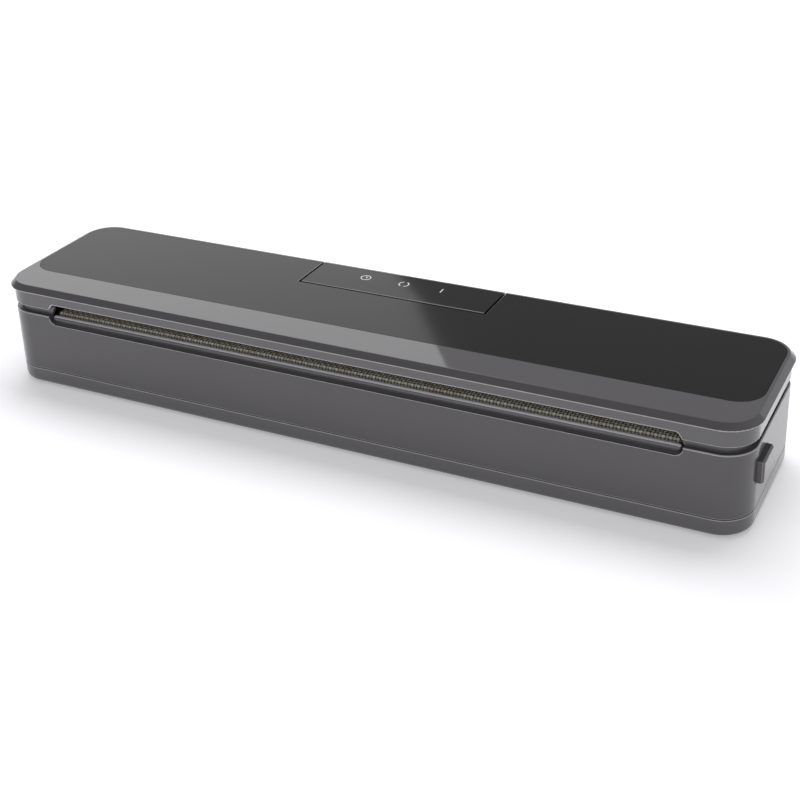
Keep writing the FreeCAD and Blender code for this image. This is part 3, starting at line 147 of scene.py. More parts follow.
def opened(name: str) -> Tuple[bpy.types.Material, bpy.types.NodeTree, bpy.types.NodeSocket]:
    """Make a material with an empty tree.

    Args:
        name: The material's name.

    Returns:
        The material, its tree and the object coordinates that its patterns follow.
    """
    material = bpy.data.materials.new(name)
    material.use_nodes = True
    tree = material.node_tree
    tree.nodes.clear()
    return material, tree, add(tree, "ShaderNodeTexCoord").outputs["Object"]


def shaded(material: bpy.types.Material, feeds: Feeds) -> bpy.types.Material:
    """End a material's tree in its shader.

    Args:
        material: The material.
        feeds: Inputs of the shader.

    Returns:
        The same material.
    """
    tree = material.node_tree
    shader = add(tree, "ShaderNodeBsdfPrincipled", feeds)
    add(tree, "ShaderNodeOutputMaterial", {"Surface": shader})
    return material


@dataclass(frozen=True)
class Finish:
    """A procedural surface that is named for its real material."""

    name: str
    color: str

    def build(self) -> bpy.types.Material:
        """Make the material.

        Returns:
            The material.
        """
        raise NotImplementedError


@dataclass(frozen=True)
class Moulding(Finish):
    """An injection moulded plastic such as ABS, with the fine grain of a spark-eroded mould.

    The grain breaks up the reflections a little, the colour drifts slightly where the melt cooled, and the
    narrow roundings along the edges get painted highlights, so each edge shows as a fine light line. Marked
    faces can also be painted lighter or darker as painted light and shade.
    """

    roughness: float
    grain: float = 0.45
    depth: float = 0.004
    ior: float = 1.5
    rubbed: str = "a9a7aa"

    def build(self) -> bpy.types.Material:
        """Make the material, with painted light and shade where the mesh is marked for it.

        Returns:
            The material.
        """
        material, tree, coords = opened(self.name)
        drift = add(tree, "ShaderNodeTexNoise", {"Vector": coords, "Scale": per_mm(CLOUD), "Detail": 1.0})
        tones = {SHARE: drift, COLOR_A: shade(self.color, 0.95), COLOR_B: shade(self.color, 1.05)}
        even = add(tree, "ShaderNodeMix", tones, data_type="RGBA")
        light_share = add(tree, "ShaderNodeAttribute", attribute_name="rubbed").outputs["Fac"]
        tones = {SHARE: light_share, COLOR_A: even, COLOR_B: linear(self.rubbed)}
        base = add(tree, "ShaderNodeMix", tones, data_type="RGBA", clamp_factor=False)
        grain = add(tree, "ShaderNodeTexNoise", {
            "Vector": coords, "Scale": per_mm(self.grain), "Detail": 2.0})
        gloss = add(tree, "ShaderNodeMapRange", {
            "Value": grain, "From Min": 0.2, "From Max": 0.8,
            "To Min": self.roughness * 0.92, "To Max": self.roughness * 1.08})
        bump = add(tree, "ShaderNodeBump", {"Height": grain, "Strength": 0.25, "Distance": self.depth * MM})
        return shaded(material, {"Base Color": base, "Roughness": gloss, "Normal": bump, "IOR": self.ior})


@dataclass(frozen=True)
class GlossPanel(Finish):
    """Hard-coated acrylic, back-painted black: deep, with clear reflections and a trace of orange peel.

    Its cut edges get painted highlights, which show as fine pale lines.
    """

    cut_highlight: str = "8e8d90"
    roughness: float = 0.085
    ior: float = 1.26
    wipe: float = 25.0
    peel: float = 9.0

    def build(self) -> bpy.types.Material:
        """Make the material, with a painted highlight where the mesh is marked as a cut edge.

        Returns:
            The material.
        """
        material, tree, coords = opened(self.name)
        cloud = add(tree, "ShaderNodeTexNoise", {"Vector": coords, "Scale": per_mm(CLOUD)})
        tones = {SHARE: cloud, COLOR_A: shade(self.color, 0.95), COLOR_B: shade(self.color, 1.05)}
        deep = add(tree, "ShaderNodeMix", tones, data_type="RGBA")
        light_share = add(tree, "ShaderNodeAttribute", attribute_name="rubbed").outputs["Fac"]
        tones = {SHARE: light_share, COLOR_A: deep, COLOR_B: linear(self.cut_highlight)}
        base = add(tree, "ShaderNodeMix", tones, data_type="RGBA")
        wipe = add(tree, "ShaderNodeTexNoise", {"Vector": coords, "Scale": per_mm(self.wipe), "Detail": 5.0})
        gloss = add(tree, "ShaderNodeMapRange", {
            "Value": wipe, "To Min": self.roughness * 0.9, "To Max": self.roughness * 1.1})
        peel = add(tree, "ShaderNodeTexNoise", {"Vector": coords, "Scale": per_mm(self.peel), "Detail": 0.0})
        bump = add(tree, "ShaderNodeBump", {"Height": peel, "Strength": 0.05, "Distance": 0.01 * MM})
        return shaded(material, {"Base Color": base, "Roughness": gloss, "Normal": bump, "IOR": self.ior})


@dataclass(frozen=True)
class Rubber(Finish):
    """Rubber, silicone or closed-cell foam: dull, with cells or talc that lighten the skin in specks."""

    bloom: str
    roughness: float
    cell: float
    depth: float

    def build(self) -> bpy.types.Material:
        """Make the material.

        Returns:
            The material.
        """
        material, tree, coords = opened(self.name)
        cells = add(tree, "ShaderNodeTexVoronoi", {"Vector": coords, "Scale": per_mm(self.cell)})
        talc = add(tree, "ShaderNodeTexNoise", {
            "Vector": coords, "Scale": per_mm(self.cell * 4), "Detail": 4.0})
        tones = {SHARE: talc, COLOR_A: linear(self.color), COLOR_B: linear(self.bloom)}
        base = add(tree, "ShaderNodeMix", tones, data_type="RGBA")
        gloss = add(tree, "ShaderNodeMapRange", {
            "Value": cells, "From Max": 0.7,
            "To Min": self.roughness, "To Max": min(1.0, self.roughness + 0.15)})
        bump = add(tree, "ShaderNodeBump", {"Height": cells, "Strength": 0.5, "Distance": self.depth * MM})
        feeds = {"Base Color": base, "Roughness": gloss, "Normal": bump, "Specular IOR Level": 0.35}
        return shaded(material, feeds)


@dataclass(frozen=True)
class Metal(Finish):
    """Steel or copper, drawn or ground along X: fine lines that stretch the highlights."""

    roughness: float
    line: float = 0.3
    stretch: float = 30.0

    def build(self) -> bpy.types.Material:
        """Make the material.

        Returns:
            The material.
        """
        material, tree, coords = opened(self.name)
        along = add(tree, "ShaderNodeMapping", {"Vector": coords, "Scale": (1.0 / self.stretch, 1.0, 1.0)})
        lines = add(tree, "ShaderNodeTexNoise", {"Vector": along, "Scale": per_mm(self.line), "Detail": 3.0})
        tones = {SHARE: lines, COLOR_A: linear(self.color), COLOR_B: shade(self.color, 0.8)}
        base = add(tree, "ShaderNodeMix", tones, data_type="RGBA")
        gloss = add(tree, "ShaderNodeMapRange", {
            "Value": lines, "To Min": self.roughness * 0.75, "To Max": self.roughness * 1.3})
        bump = add(tree, "ShaderNodeBump", {"Height": lines, "Strength": 0.2, "Distance": 0.01 * MM})
        return shaded(material, {"Base Color": base, "Roughness": gloss, "Normal": bump, "Metallic": 1.0})


@dataclass(frozen=True)
class CoatedWeave(Finish):
    """Glass cloth coated with a non-stick film: pale and olive threads, dark gaps and a greasy sheen.

    The cloth's nose is painted darker as painted shade, which evens its tone against the shaded rows behind
    it. The lengths are in millimetres across the strip.
    """

    weft: str
    gap: str
    tint: str
    painted_nose_shade: float = 0.45
    painted_nose_shade_ends: Span = (2.0, 4.0)
    stain: float = 7.0
    fibre: float = 0.12

    def build(self) -> bpy.types.Material:
        """Make the material, coloured by the thread attributes of the strip.

        Returns:
            The material.
        """
        material, tree, coords = opened(self.name)
        over, crown, across = [add(tree, "ShaderNodeAttribute", attribute_name=label).outputs["Fac"]
                               for label in ("over", "crown", "across")]
        drift = add(tree, "ShaderNodeTexNoise", {
            "Vector": coords, "Scale": per_mm(self.stain), "Detail": 3.0})
        share = add(tree, "ShaderNodeMapRange", {
            "Value": drift, "From Min": 0.5, "From Max": 0.7, "To Max": 0.6})
        painted_nose_shade = add(tree, "ShaderNodeMapRange", {
            "Value": across, "From Min": self.painted_nose_shade_ends[0] * MM, "From Max": self.painted_nose_shade_ends[1] * MM,
            "To Min": self.painted_nose_shade, "To Max": 0.0})
        depth = add(tree, "ShaderNodeMapRange", {"Value": crown, "From Min": 0.4, "From Max": 0.8})
        tones = {SHARE: over, COLOR_A: linear(self.weft), COLOR_B: linear(self.color)}
        threads = add(tree, "ShaderNodeMix", tones, data_type="RGBA")
        tones = {SHARE: share, COLOR_A: threads, COLOR_B: linear(self.tint)}
        stained = add(tree, "ShaderNodeMix", tones, data_type="RGBA")
        tones = {SHARE: painted_nose_shade, COLOR_A: stained, COLOR_B: linear(self.gap)}
        nose_shaded = add(tree, "ShaderNodeMix", tones, data_type="RGBA")
        tones = {SHARE: depth, COLOR_A: linear(self.gap), COLOR_B: nose_shaded}
        base = add(tree, "ShaderNodeMix", tones, data_type="RGBA")
        gloss = add(tree, "ShaderNodeMapRange", {"Value": crown, "To Min": 0.65, "To Max": 0.4})
        fibres = add(tree, "ShaderNodeTexNoise", {
            "Vector": coords, "Scale": per_mm(self.fibre), "Detail": 1.0})
        bump = add(tree, "ShaderNodeBump", {"Height": fibres, "Strength": 0.3, "Distance": 0.02 * MM})
        return shaded(material, {"Base Color": base, "Roughness": gloss, "Normal": bump})


@dataclass(frozen=True)
class SolderMask(Finish):
    """A glass-epoxy board under green solder mask, with lighter copper runs below it."""

    track: str
    run: float = 3.0
    dust: float = 2.0

    def build(self) -> bpy.types.Material:
        """Make the material.

        Returns:
            The material.
        """
        material, tree, coords = opened(self.name)
        runs = add(tree, "ShaderNodeTexBrick", {
            "Vector": coords, "Scale": per_mm(self.run), "Mortar Size": 0.12})
        line = runs.outputs["Fac"]
        tones = {SHARE: line, COLOR_A: linear(self.color), COLOR_B: linear(self.track)}
        base = add(tree, "ShaderNodeMix", tones, data_type="RGBA")
        dust = add(tree, "ShaderNodeTexNoise", {"Vector": coords, "Scale": per_mm(self.dust)})
        gloss = add(tree, "ShaderNodeMapRange", {"Value": dust, "To Min": 0.25, "To Max": 0.4})
        bump = add(tree, "ShaderNodeBump", {"Height": line, "Strength": 0.3, "Distance": 0.05 * MM})
        return shaded(material, {"Base Color": base, "Roughness": gloss, "Normal": bump})


@dataclass(frozen=True)
class ScreenPrint(Finish):
    """Pale screen ink on the touch panel: matt, a little uneven where the ink lies thinner."""

    film: float = 0.4

    def build(self) -> bpy.types.Material:
        """Make the material.

        Returns:
            The material.
        """
        material, tree, coords = opened(self.name)
        film = add(tree, "ShaderNodeTexNoise", {"Vector": coords, "Scale": per_mm(self.film)})
        tones = {SHARE: film, COLOR_A: shade(self.color, 0.9), COLOR_B: linear(self.color)}
        base = add(tree, "ShaderNodeMix", tones, data_type="RGBA")
        gloss = add(tree, "ShaderNodeMapRange", {"Value": film, "To Min": 0.5, "To Max": 0.7})
        return shaded(material, {"Base Color": base, "Roughness": gloss})


def finishes() -> Materials:
    """Make every material of the object.

    A mould's real grain is about 0.1 mm. It is drawn 0.45 to 0.9 mm wide here, so that it shows.

    Returns:
        The materials by the record's slot names, and the ink.
    """
    made = {
        # Satin from the mould: a soft sheen along the walls, with painted highlights along the edges.
        "body_plastic": Moulding("ABS moulded dark grey satin", "4f4d50", 0.22),
        # A polished mould: the border mirrors the studio in soft-edged fields.
        # Its edges get painted highlights and the front of its chamfer a painted shade.
        "lid_plastic": Moulding("ABS moulded dark grey polished", "565457", 0.035, depth=0.0005, ior=1.62),
        # Paint behind clear acrylic: a deep black with one clear reflection on top,
        # and painted highlights along its cut edges.
        "panel_gloss": GlossPanel("Acrylic back-painted black", "242425"),
        # A coarse mould grain: an even, dull black without reflections.
        "inner_plastic": Moulding("ABS moulded black matt", "2a2a2c", 0.45, 0.7, 0.008),
        # Satin as on the walls, a little darker, so that the button stands out from its wall, with dimmer
        # painted highlights along its edges.
        "button_plastic": Moulding("ABS moulded dark grey button", "403e41", 0.22, rubbed="6c6a6e"),
        # Cut foam: fine open cells that swallow the light.
        "seal_foam": Rubber("Closed-cell neoprene foam", "1d1d1f", "343437", 0.7, 0.5, 0.06),
        # Pressed silicone: a smooth grey skin with a faint bloom.
        "pressure_silicone": Rubber("Silicone rubber moulded grey", "3a3a3d", "4b4b4e", 0.5, 0.3, 0.01),
        # Pressed resin: a dull brown with a slightly mottled skin.
        "heater_insulator": Moulding("Phenolic resin pressed brown", "4a3a2c", 0.5, 0.8, 0.02),
        # Rolled strip: a warm grey with lines along its length.
        "heating_alloy": Metal("Nickel chrome rolled strip", "9c9890", 0.35),
        # Coated cloth: light crowns of the threads between dark gaps. Real threads lie about 0.6 mm apart,
        # and the strip draws them coarser, so that the weave shows.
        "woven_tape": CoatedWeave("Glass cloth woven and coated", "f0eee2", "d2d2bc", "12110e", "cf9a88"),
        # Lacquer over copper: a glossy green with lighter runs.
        "circuit_board": SolderMask("Glass epoxy green lacquered", "123f22", "1f5c33"),
        # Stacked sheets: a grey broken up by their edges.
        "core_steel": Metal("Silicon steel laminated", "6c6c70", 0.45, 0.5, 1.0),
        # Varnished wire: warm copper lines that run with the winding.
        "coil_copper": Metal("Copper enamelled winding", "a8623a", 0.3, 0.35, 40.0),
        # A drawn can: a cool bright grey with long highlights.
        "motor_steel": Metal("Steel zinc plated drawn", "a2a2a4", 0.3),
        # Undyed nylon: a milky white with a soft sheen.
        "pump_plastic": Moulding("Nylon moulded natural", "dcd9cf", 0.5, 0.9, 0.01),
        # Talc from the mould: a dull black with greyer specks.
        "foot_rubber": Rubber("Rubber moulded black", "141414", "242425", 0.75, 0.25, 0.02),
        # Extruded silicone: a smooth milky skin.
        "hose_silicone": Rubber("Silicone rubber extruded white", "c4c2bc", "d6d4cf", 0.4, 0.4, 0.01),
        # Glass-filled plastic: a near black with a low sheen.
        "switch_plastic": Moulding("Polyamide moulded black", "161617", 0.42, 0.5, 0.01),
        # A slippery plastic: a clear red with a waxy sheen.
        "plunger_plastic": Moulding("Acetal moulded red", "b32a22", 0.35, 0.5, 0.004),
        # Ground rod: a bright grey with sharp, stretched highlights.
        "pin_steel": Metal("Steel ground bright", "b4b4b6", 0.2),
        # Oxide from a hot bath: a dark grey with a faint oily gloss.
        "screw_steel": Metal("Steel blackened", "4a4a4c", 0.4, 0.2, 1.0),
        # Drawn wire: a bright grey with highlights along the coil.
        "spring_steel": Metal("Steel drawn spring wire", "a8a8aa", 0.25),
        # Printed ink: a flat pale grey without gloss.
        "ink": ScreenPrint("Screen ink printed pale grey", "f0f0f2"),
    }
    return {slot: finish.build() for slot, finish in made.items()}


def link(name: str, data: Any) -> bpy.types.Object:
    """Put a mesh, light or camera in the scene as an object at the origin.

    Args:
        name: The object's name.
        data: Its data.

    Returns:
        The object.
    """
    obj = bpy.data.objects.new(name, data)
    bpy.context.scene.collection.objects.link(obj)
    return obj


def mesh_of(bm: bmesh.types.BMesh, name: str) -> bpy.types.Mesh:
    """Turn edited geometry into a mesh.

    Args:
        bm: The geometry, which is freed.
        name: The mesh name.

    Returns:
        The mesh.
    """
    mesh = bpy.data.meshes.new(name)
    bm.to_mesh(mesh)
    bm.free()
    return mesh


def settled(obj: bpy.types.Object) -> bpy.types.Mesh:
    """Bake an object's modifiers into a plain mesh.

    Args:
        obj: The object to evaluate, which is removed.

    Returns:
        The evaluated mesh.
    """
    graph = bpy.context.evaluated_depsgraph_get()
    mesh = bpy.data.meshes.new_from_object(obj.evaluated_get(graph), depsgraph=graph)
    mesh.name = obj.name
    bpy.data.objects.remove(obj)
    return mesh


def creased(bm: bmesh.types.BMesh, degrees: float = 32.0) -> None:
    """Shade geometry smooth, and keep its sharp edges.

    Args:
        bm: The geometry.
        degrees: The least turn of an edge that stays sharp.
    """
    limit = math.radians(degrees)
    for face in bm.faces:
        face.smooth = True
    for edge in bm.edges:
        edge.smooth = len(edge.link_faces) == 2 and edge.calc_face_angle(0.0) < limit


def weighted(name: str, bm: bmesh.types.BMesh) -> bpy.types.Mesh:
    """Finish geometry with normals that keep its large flat faces flat.

    Args:
        name: The mesh name.
        bm: The geometry, which is freed.

    Returns:
        The mesh.
    """
    creased(bm)
    obj = link(name, mesh_of(bm, name))
    modifier = obj.modifiers.new("Flat faces", "WEIGHTED_NORMAL")
    modifier.keep_sharp = True
    modifier.weight = 80
    return settled(obj)


@dataclass(frozen=True)
class Rule:
    """A change to the copy of a CAD mesh, inside a box in millimetres."""

    x: Span = EVERYWHERE
    y: Span = EVERYWHERE
    z: Span = EVERYWHERE

    def holds(self, point: Vector) -> bool:
        """Whether a point, in metres, lies in the box."""
        spans = (self.x, self.y, self.z)
        return all(low * MM <= point[axis] <= high * MM for axis, (low, high) in enumerate(spans))

    def mirrored(self) -> "Rule":
        """The same rule at the other end of the object."""
        return replace(self, x=(-self.x[1], -self.x[0]))

    def apply(self, bm: bmesh.types.BMesh) -> None:
        """Make the change.

        Args:
            bm: The geometry, with its normals up to date.
        """
        raise NotImplementedError


@dataclass(frozen=True)
class Softening(Rule):
    """Sharp edges that get rounded."""

    width: float = 0.3
    segments: int = 2
    shortest: float = 0.2
    clamp: bool = True
    least_turn: float = 30.0

    def rounds(self, edge: bmesh.types.BMEdge) -> bool:
        """Whether an edge is sharp, long enough and inside the box.

        Args:
            edge: The edge.

        Returns:
            True if it gets rounded.
        """
        if len(edge.link_faces) != 2 or edge.calc_face_angle(0.0) < math.radians(self.least_turn):
            return False
        return edge.calc_length() >= self.shortest * MM and all(self.holds(vert.co) for vert in edge.verts)

    def apply(self, bm: bmesh.types.BMesh) -> None:
        """Round the edges that the box holds.

        Args:
            bm: The geometry.
        """
        edges = [edge for edge in bm.edges if self.rounds(edge)]
        if edges:
            bmesh.ops.bevel(bm, geom=edges, offset=self.width * MM, offset_type="OFFSET", affect="EDGES",
                            segments=self.segments, profile=0.5, clamp_overlap=self.clamp)


@dataclass(frozen=True)
class PaintedLightAndShade(Rule):
    """Narrow faces painted paler as highlight lines, and wide faces painted lighter or darker as light and
    shade.

    The shares are matched to a picture of the object: one above zero paints light, one below zero paints
    shade, and one above one paints a highlight brighter than the pale colour. A share that fades is whole on
    faces towards the front and nothing on those at the ends and the back.
    """

    width: float = 0.6
    least_up: float = -1.0
    share: float = 1.0
    fades: bool = False

    def share_of(self, face: bmesh.types.BMFace) -> float:
        """The share that a face gets.

        Args:
            face: The face.

        Returns:
            The share, faded by the face's turn away from the front.
        """
        if not self.fades:
            return self.share
        level = math.hypot(face.normal.x, face.normal.y)
        return self.share * max(0.0, -face.normal.y / level) ** 2 if level else 0.0

    def apply(self, bm: bmesh.types.BMesh) -> None:
        """Mark the faces that the box holds, for the finish to read.

        Args:
            bm: The geometry.
        """
        layer = bm.faces.layers.float.get("rubbed") or bm.faces.layers.float.new("rubbed")
        for face in bm.faces:
            if self.holds(face.calc_center_median()) and face.normal.z >= self.least_up:
                longest = max(edge.calc_length() for edge in face.edges)
                if face.calc_area() < longest * self.width * MM:
                    face[layer] = self.share_of(face)


@dataclass(frozen=True)
class Leaning(Rule):
    """Corners that lean along X towards the middle of the object."""

    lean: float = 0.0

    def apply(self, bm: bmesh.types.BMesh) -> None:
        """Move the corners that the box holds.

        Args:
            bm: The geometry.
        """
        for vert in bm.verts:
            if self.holds(vert.co):
                vert.co.x -= math.copysign(self.lean * MM, vert.co.x)


def copied(node: str) -> bmesh.types.BMesh:
    """Open a copy of a CAD node with its triangles joined to whole faces.

    Args:
        node: The node's name.

    Returns:
        The geometry.
    """
    bm = bmesh.new()
    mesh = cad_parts[node].data.copy()
    mesh.attributes.remove(mesh.attributes["custom_normal"])
    bm.from_mesh(mesh)
    bpy.data.meshes.remove(mesh)
    bmesh.ops.remove_doubles(bm, verts=bm.verts[:], dist=1e-6)
    bmesh.ops.dissolve_limit(bm, angle_limit=math.radians(0.5), verts=bm.verts[:], edges=bm.edges[:],
                             use_dissolve_boundaries=False)
    return bm


def solid_boxes(node: str) -> List[Corners]:
    """Boxes of the separate solids of a CAD node.

    Args:
        node: The node's name.

    Returns:
        Lowest and highest corner of each solid.
    """
    bm = copied(node)
    left = set(bm.verts)
    boxes = []
    while left:
        group = [left.pop()]
        for vert in group:
            for edge in vert.link_edges:
                other = edge.other_vert(vert)
                if other in left:
                    left.remove(other)
                    group.append(other)
        corners = [[pick(vert.co[axis] for vert in group) for axis in range(3)] for pick in (min, max)]
        boxes.append((Vector(corners[0]), Vector(corners[1])))
    bm.free()
    return boxes


def bridged(bm: bmesh.types.BMesh, first: Sequence[Any], second: Sequence[Any]) -> None:
    """Close the band between two rings of corners.

    Args:
        bm: The geometry.
        first: Corners of one ring.
        second: Corners of the other, as many.
    """
    for i in range(len(first)):
        j = (i + 1) % len(first)
        bm.faces.new((first[i], first[j], second[j], second[i]))


def rounded_loop(box: Corners, radius: float, steps: int = 14) -> List[Corners]:
    """A level rounded rectangle on the sides of a box.

    Args:
        box: Lowest and highest corner.
        radius: Corner radius in metres.
        steps: Divisions of each corner.

    Returns:
        Points with their outward directions.
    """
    low, high = box
    centres = [(high.x - radius, high.y - radius), (low.x + radius, high.y - radius),
               (low.x + radius, low.y + radius), (high.x - radius, low.y + radius)]
    loop = []
    for quarter, (x, y) in enumerate(centres):
        for step in range(steps + 1):
            turn = (quarter + step / steps) * math.pi / 2
            out = Vector((math.cos(turn), math.sin(turn), 0.0))
            loop.append((Vector((x, y, 0.0)) + out * radius, out))
    return loop


def skin(loop: Sequence[Corners], section: Sequence[Point], closed: bool = True) -> bmesh.types.BMesh:
    """Carry a section round a loop.

    Args:
        loop: Points with outward directions.
        section: Offsets outwards and heights, in metres.
        closed: Whether the section closes on itself; else its ends are capped.

    Returns:
        The geometry.
    """
    bm = bmesh.new()
    rings = []
    for offset, height in section:
        rings.append([bm.verts.new(point + out * offset + Vector((0, 0, height))) for point, out in loop])
    for first, second in zip(rings, rings[1:] + (rings[:1] if closed else [])):
        bridged(bm, first, second)
    if not closed:
        bm.faces.new(rings[0])
        bm.faces.new(rings[-1])
    bmesh.ops.remove_doubles(bm, verts=bm.verts[:], dist=1e-7)
    bmesh.ops.recalc_face_normals(bm, faces=bm.faces[:])
    return bm


def lathe(section: Sequence[Point], steps: int = 32) -> bmesh.types.BMesh:
    """Turn a section about Z into a closed form.

    Args:
        section: Radii and heights, in metres.
        steps: Divisions of the turn.

    Returns:
        The geometry.
    """
    bm = bmesh.new()
    turns = [step / steps * math.tau for step in range(steps)]
    rings = []
    for radius, height in section:
        rings.append([bm.verts.new((radius * math.cos(t), radius * math.sin(t), height)) for t in turns])
    for first, second in zip(rings, rings[1:]):
        bridged(bm, first, second)
    bm.faces.new(rings[0])
    bm.faces.new(rings[-1])
    bmesh.ops.recalc_face_normals(bm, faces=bm.faces[:])
    return bm


def arc(centre: Point, radius: float, start: float, end: float, steps: int = 6) -> List[Point]:
    """Points along an arc.

    Args:
        centre: Its centre.
        radius: Its radius.
        start: First angle in degrees.
        end: Last angle in degrees.
        steps: Divisions of the arc.

    Returns:
        The points, both ends included.
    """
    turns = [math.radians(start + (end - start) * i / steps) for i in range(steps + 1)]
    return [(centre[0] + radius * math.cos(t), centre[1] + radius * math.sin(t)) for t in turns]


class GeometryTree:
    """A geometry tree with named inputs, which works on an object's own mesh."""

    def __init__(self, name: str, inputs: Dict[str, str]) -> None:
        """Make the tree with a geometry input, a material input, more inputs and a geometry output.

        Args:
            name: The tree's name.
            inputs: Socket types by input name.
        """
        self.tree = bpy.data.node_groups.new(name, "GeometryNodeTree")
        face = self.tree.interface
        face.new_socket(name="Geometry", in_out="INPUT", socket_type="NodeSocketGeometry")
        self.keys = {}
        for label, kind in {**inputs, "Finish": "NodeSocketMaterial"}.items():
            self.keys[label] = face.new_socket(name=label, in_out="INPUT", socket_type=kind).identifier
        face.new_socket(name="Geometry", in_out="OUTPUT", socket_type="NodeSocketGeometry")
        self.source = add(self.tree, "NodeGroupInput").outputs

    def close(self, geometry: bpy.types.NodeSocket) -> None:
        """End the tree in realised geometry with its material.

        Args:
            geometry: The finished geometry.
        """
        real = add(self.tree, "GeometryNodeRealizeInstances", {"Geometry": geometry})
        feeds = {"Geometry": real, "Material": self.source["Finish"]}
        done = add(self.tree, "GeometryNodeSetMaterial", feeds)
        add(self.tree, "NodeGroupOutput", {"Geometry": done})

    def run(self, name: str, mesh: bpy.types.Mesh, values: Dict[str, Any]) -> bpy.types.Mesh:
        """Run the tree on a mesh.

        Args:
            name: Name of the result.
            mesh: The mesh that feeds the tree.
            values: Values by input name.

        Returns:
            A plain mesh.
        """
        obj = link(name, mesh)
        modifier = obj.modifiers.new(self.tree.name, "NODES")
        modifier.node_group = self.tree
        for label, value in values.items():
            modifier[self.keys[label]] = value
        return settled(obj)


def scatter_tree() -> GeometryTree:
    """Make the tree that sets a template on every point, turned at random about Z from a fixed seed.

    Returns:
        The tree.
    """
    made = GeometryTree("Set on points", {"Template": "NodeSocketObject", "Seed": "NodeSocketInt"})
    shape = add(made.tree, "GeometryNodeObjectInfo", {"Object": made.source["Template"]}).outputs["Geometry"]
    feeds = {"Min": (0.0, 0.0, 0.0), "Max": (0.0, 0.0, math.tau), "Seed": made.source["Seed"]}
    draw = add(made.tree, "FunctionNodeRandomValue", feeds, data_type="FLOAT_VECTOR").outputs["Value"]
    feeds = {"Points": made.source["Geometry"], "Instance": shape, "Rotation": draw}
    made.close(add(made.tree, "GeometryNodeInstanceOnPoints", feeds).outputs["Instances"])
    return made


def weave_tree() -> GeometryTree:
    """Make the tree that raises a plain weave on a strip from its lengths along and across, in metres.

    Returns:
        The tree.
    """
    made = GeometryTree("Plain weave", {"Pitch": "NodeSocketFloat", "Height": "NodeSocketFloat"})
    values: Dict[Any, Any] = {"pitch": made.source["Pitch"], "height": made.source["Height"]}
    for label in ("along", "across"):
        read = add(made.tree, "GeometryNodeInputNamedAttribute", {"Name": label}, data_type="FLOAT")
        values[label] = read.outputs["Attribute"]
    steps = []
    for label in ("along", "across"):
        steps += [(label + " step", "DIVIDE", label, "pitch"),
                  (label + " count", "FLOOR", label + " step", 0.0),
                  (label + " part", "FRACT", label + " step", 0.0),
                  (label + " turn", "MULTIPLY", label + " part", math.pi),
                  (label + " sine", "SINE", label + " turn", 0.0),
                  (label + " wave", "POWER", label + " sine", 0.6)]
    steps += [("counts", "ADD", "along count", "across count"),
              ("over", "MODULO", "counts", 2.0),
              ("under", "SUBTRACT", 1.0, "over"),
              ("warp", "MULTIPLY", "across wave", "over"),
              ("weft", "MULTIPLY", "along wave", "under"),
              ("threads", "ADD", "warp", "weft"),
              ("lift", "MULTIPLY", "threads", 0.6),
              ("crossing", "MULTIPLY", "along wave", "across wave"),
              ("crest", "MULTIPLY", "crossing", 0.4),
              ("cloth", "GREATER_THAN", "across", -0.5),
              ("raised", "ADD", "lift", "crest"),
              ("crown", "MULTIPLY", "raised", "cloth"),
              ("reach", "MULTIPLY", "crown", "height")]
    for label, operation, first, second in steps:
        feeds = {0: values.get(first, first), 1: values.get(second, second)}
        values[label] = add(made.tree, "ShaderNodeMath", feeds, operation=operation).outputs[0]
    up = add(made.tree, "GeometryNodeInputNormal").outputs["Normal"]
    shift = add(made.tree, "ShaderNodeVectorMath", {0: up, "Scale": values["reach"]}, operation="SCALE")
    geometry = made.source["Geometry"]
    for label in ("over", "crown"):
        feeds = {"Geometry": geometry, "Name": label, "Value": values[label]}
        store = add(made.tree, "GeometryNodeStoreNamedAttribute", feeds, data_type="FLOAT", domain="POINT")
        geometry = store.outputs["Geometry"]
    feeds = {"Geometry": geometry, "Offset": shift.outputs["Vector"]}
    moved = add(made.tree, "GeometryNodeSetPosition", feeds)
    made.close(add(made.tree, "GeometryNodeSetShadeSmooth", {"Geometry": moved}).outputs["Geometry"])
    return made


def spring_tree() -> GeometryTree:
    """Make the tree that winds a compression spring along X from a point.

    Returns:
        The tree.
    """
    sizes = ("Turns", "Coil radius", "Wire radius", "Length")
    made = GeometryTree("Compression spring", {label: "NodeSocketFloat" for label in sizes})
    turns, coil, wire, length = [made.source[label] for label in sizes]
    feeds = {"Resolution": 28, "Rotations": turns, "Start Radius": coil, "End Radius": coil, "Height": length}
    path = add(made.tree, "GeometryNodeCurveSpiral", feeds)
    ring = add(made.tree, "GeometryNodeCurvePrimitiveCircle", {"Resolution": 10, "Radius": wire})
    feeds = {"Curve": path, "Profile Curve": ring.outputs["Curve"], "Fill Caps": True}
    wound = add(made.tree, "GeometryNodeCurveToMesh", feeds)
    laid = add(made.tree, "GeometryNodeTransform", {"Geometry": wound, "Rotation": (0.0, math.pi / 2, 0.0)})
    feeds = {"Points": made.source["Geometry"], "Instance": laid.outputs["Geometry"]}
    made.close(add(made.tree, "GeometryNodeInstanceOnPoints", feeds).outputs["Instances"])
    return made


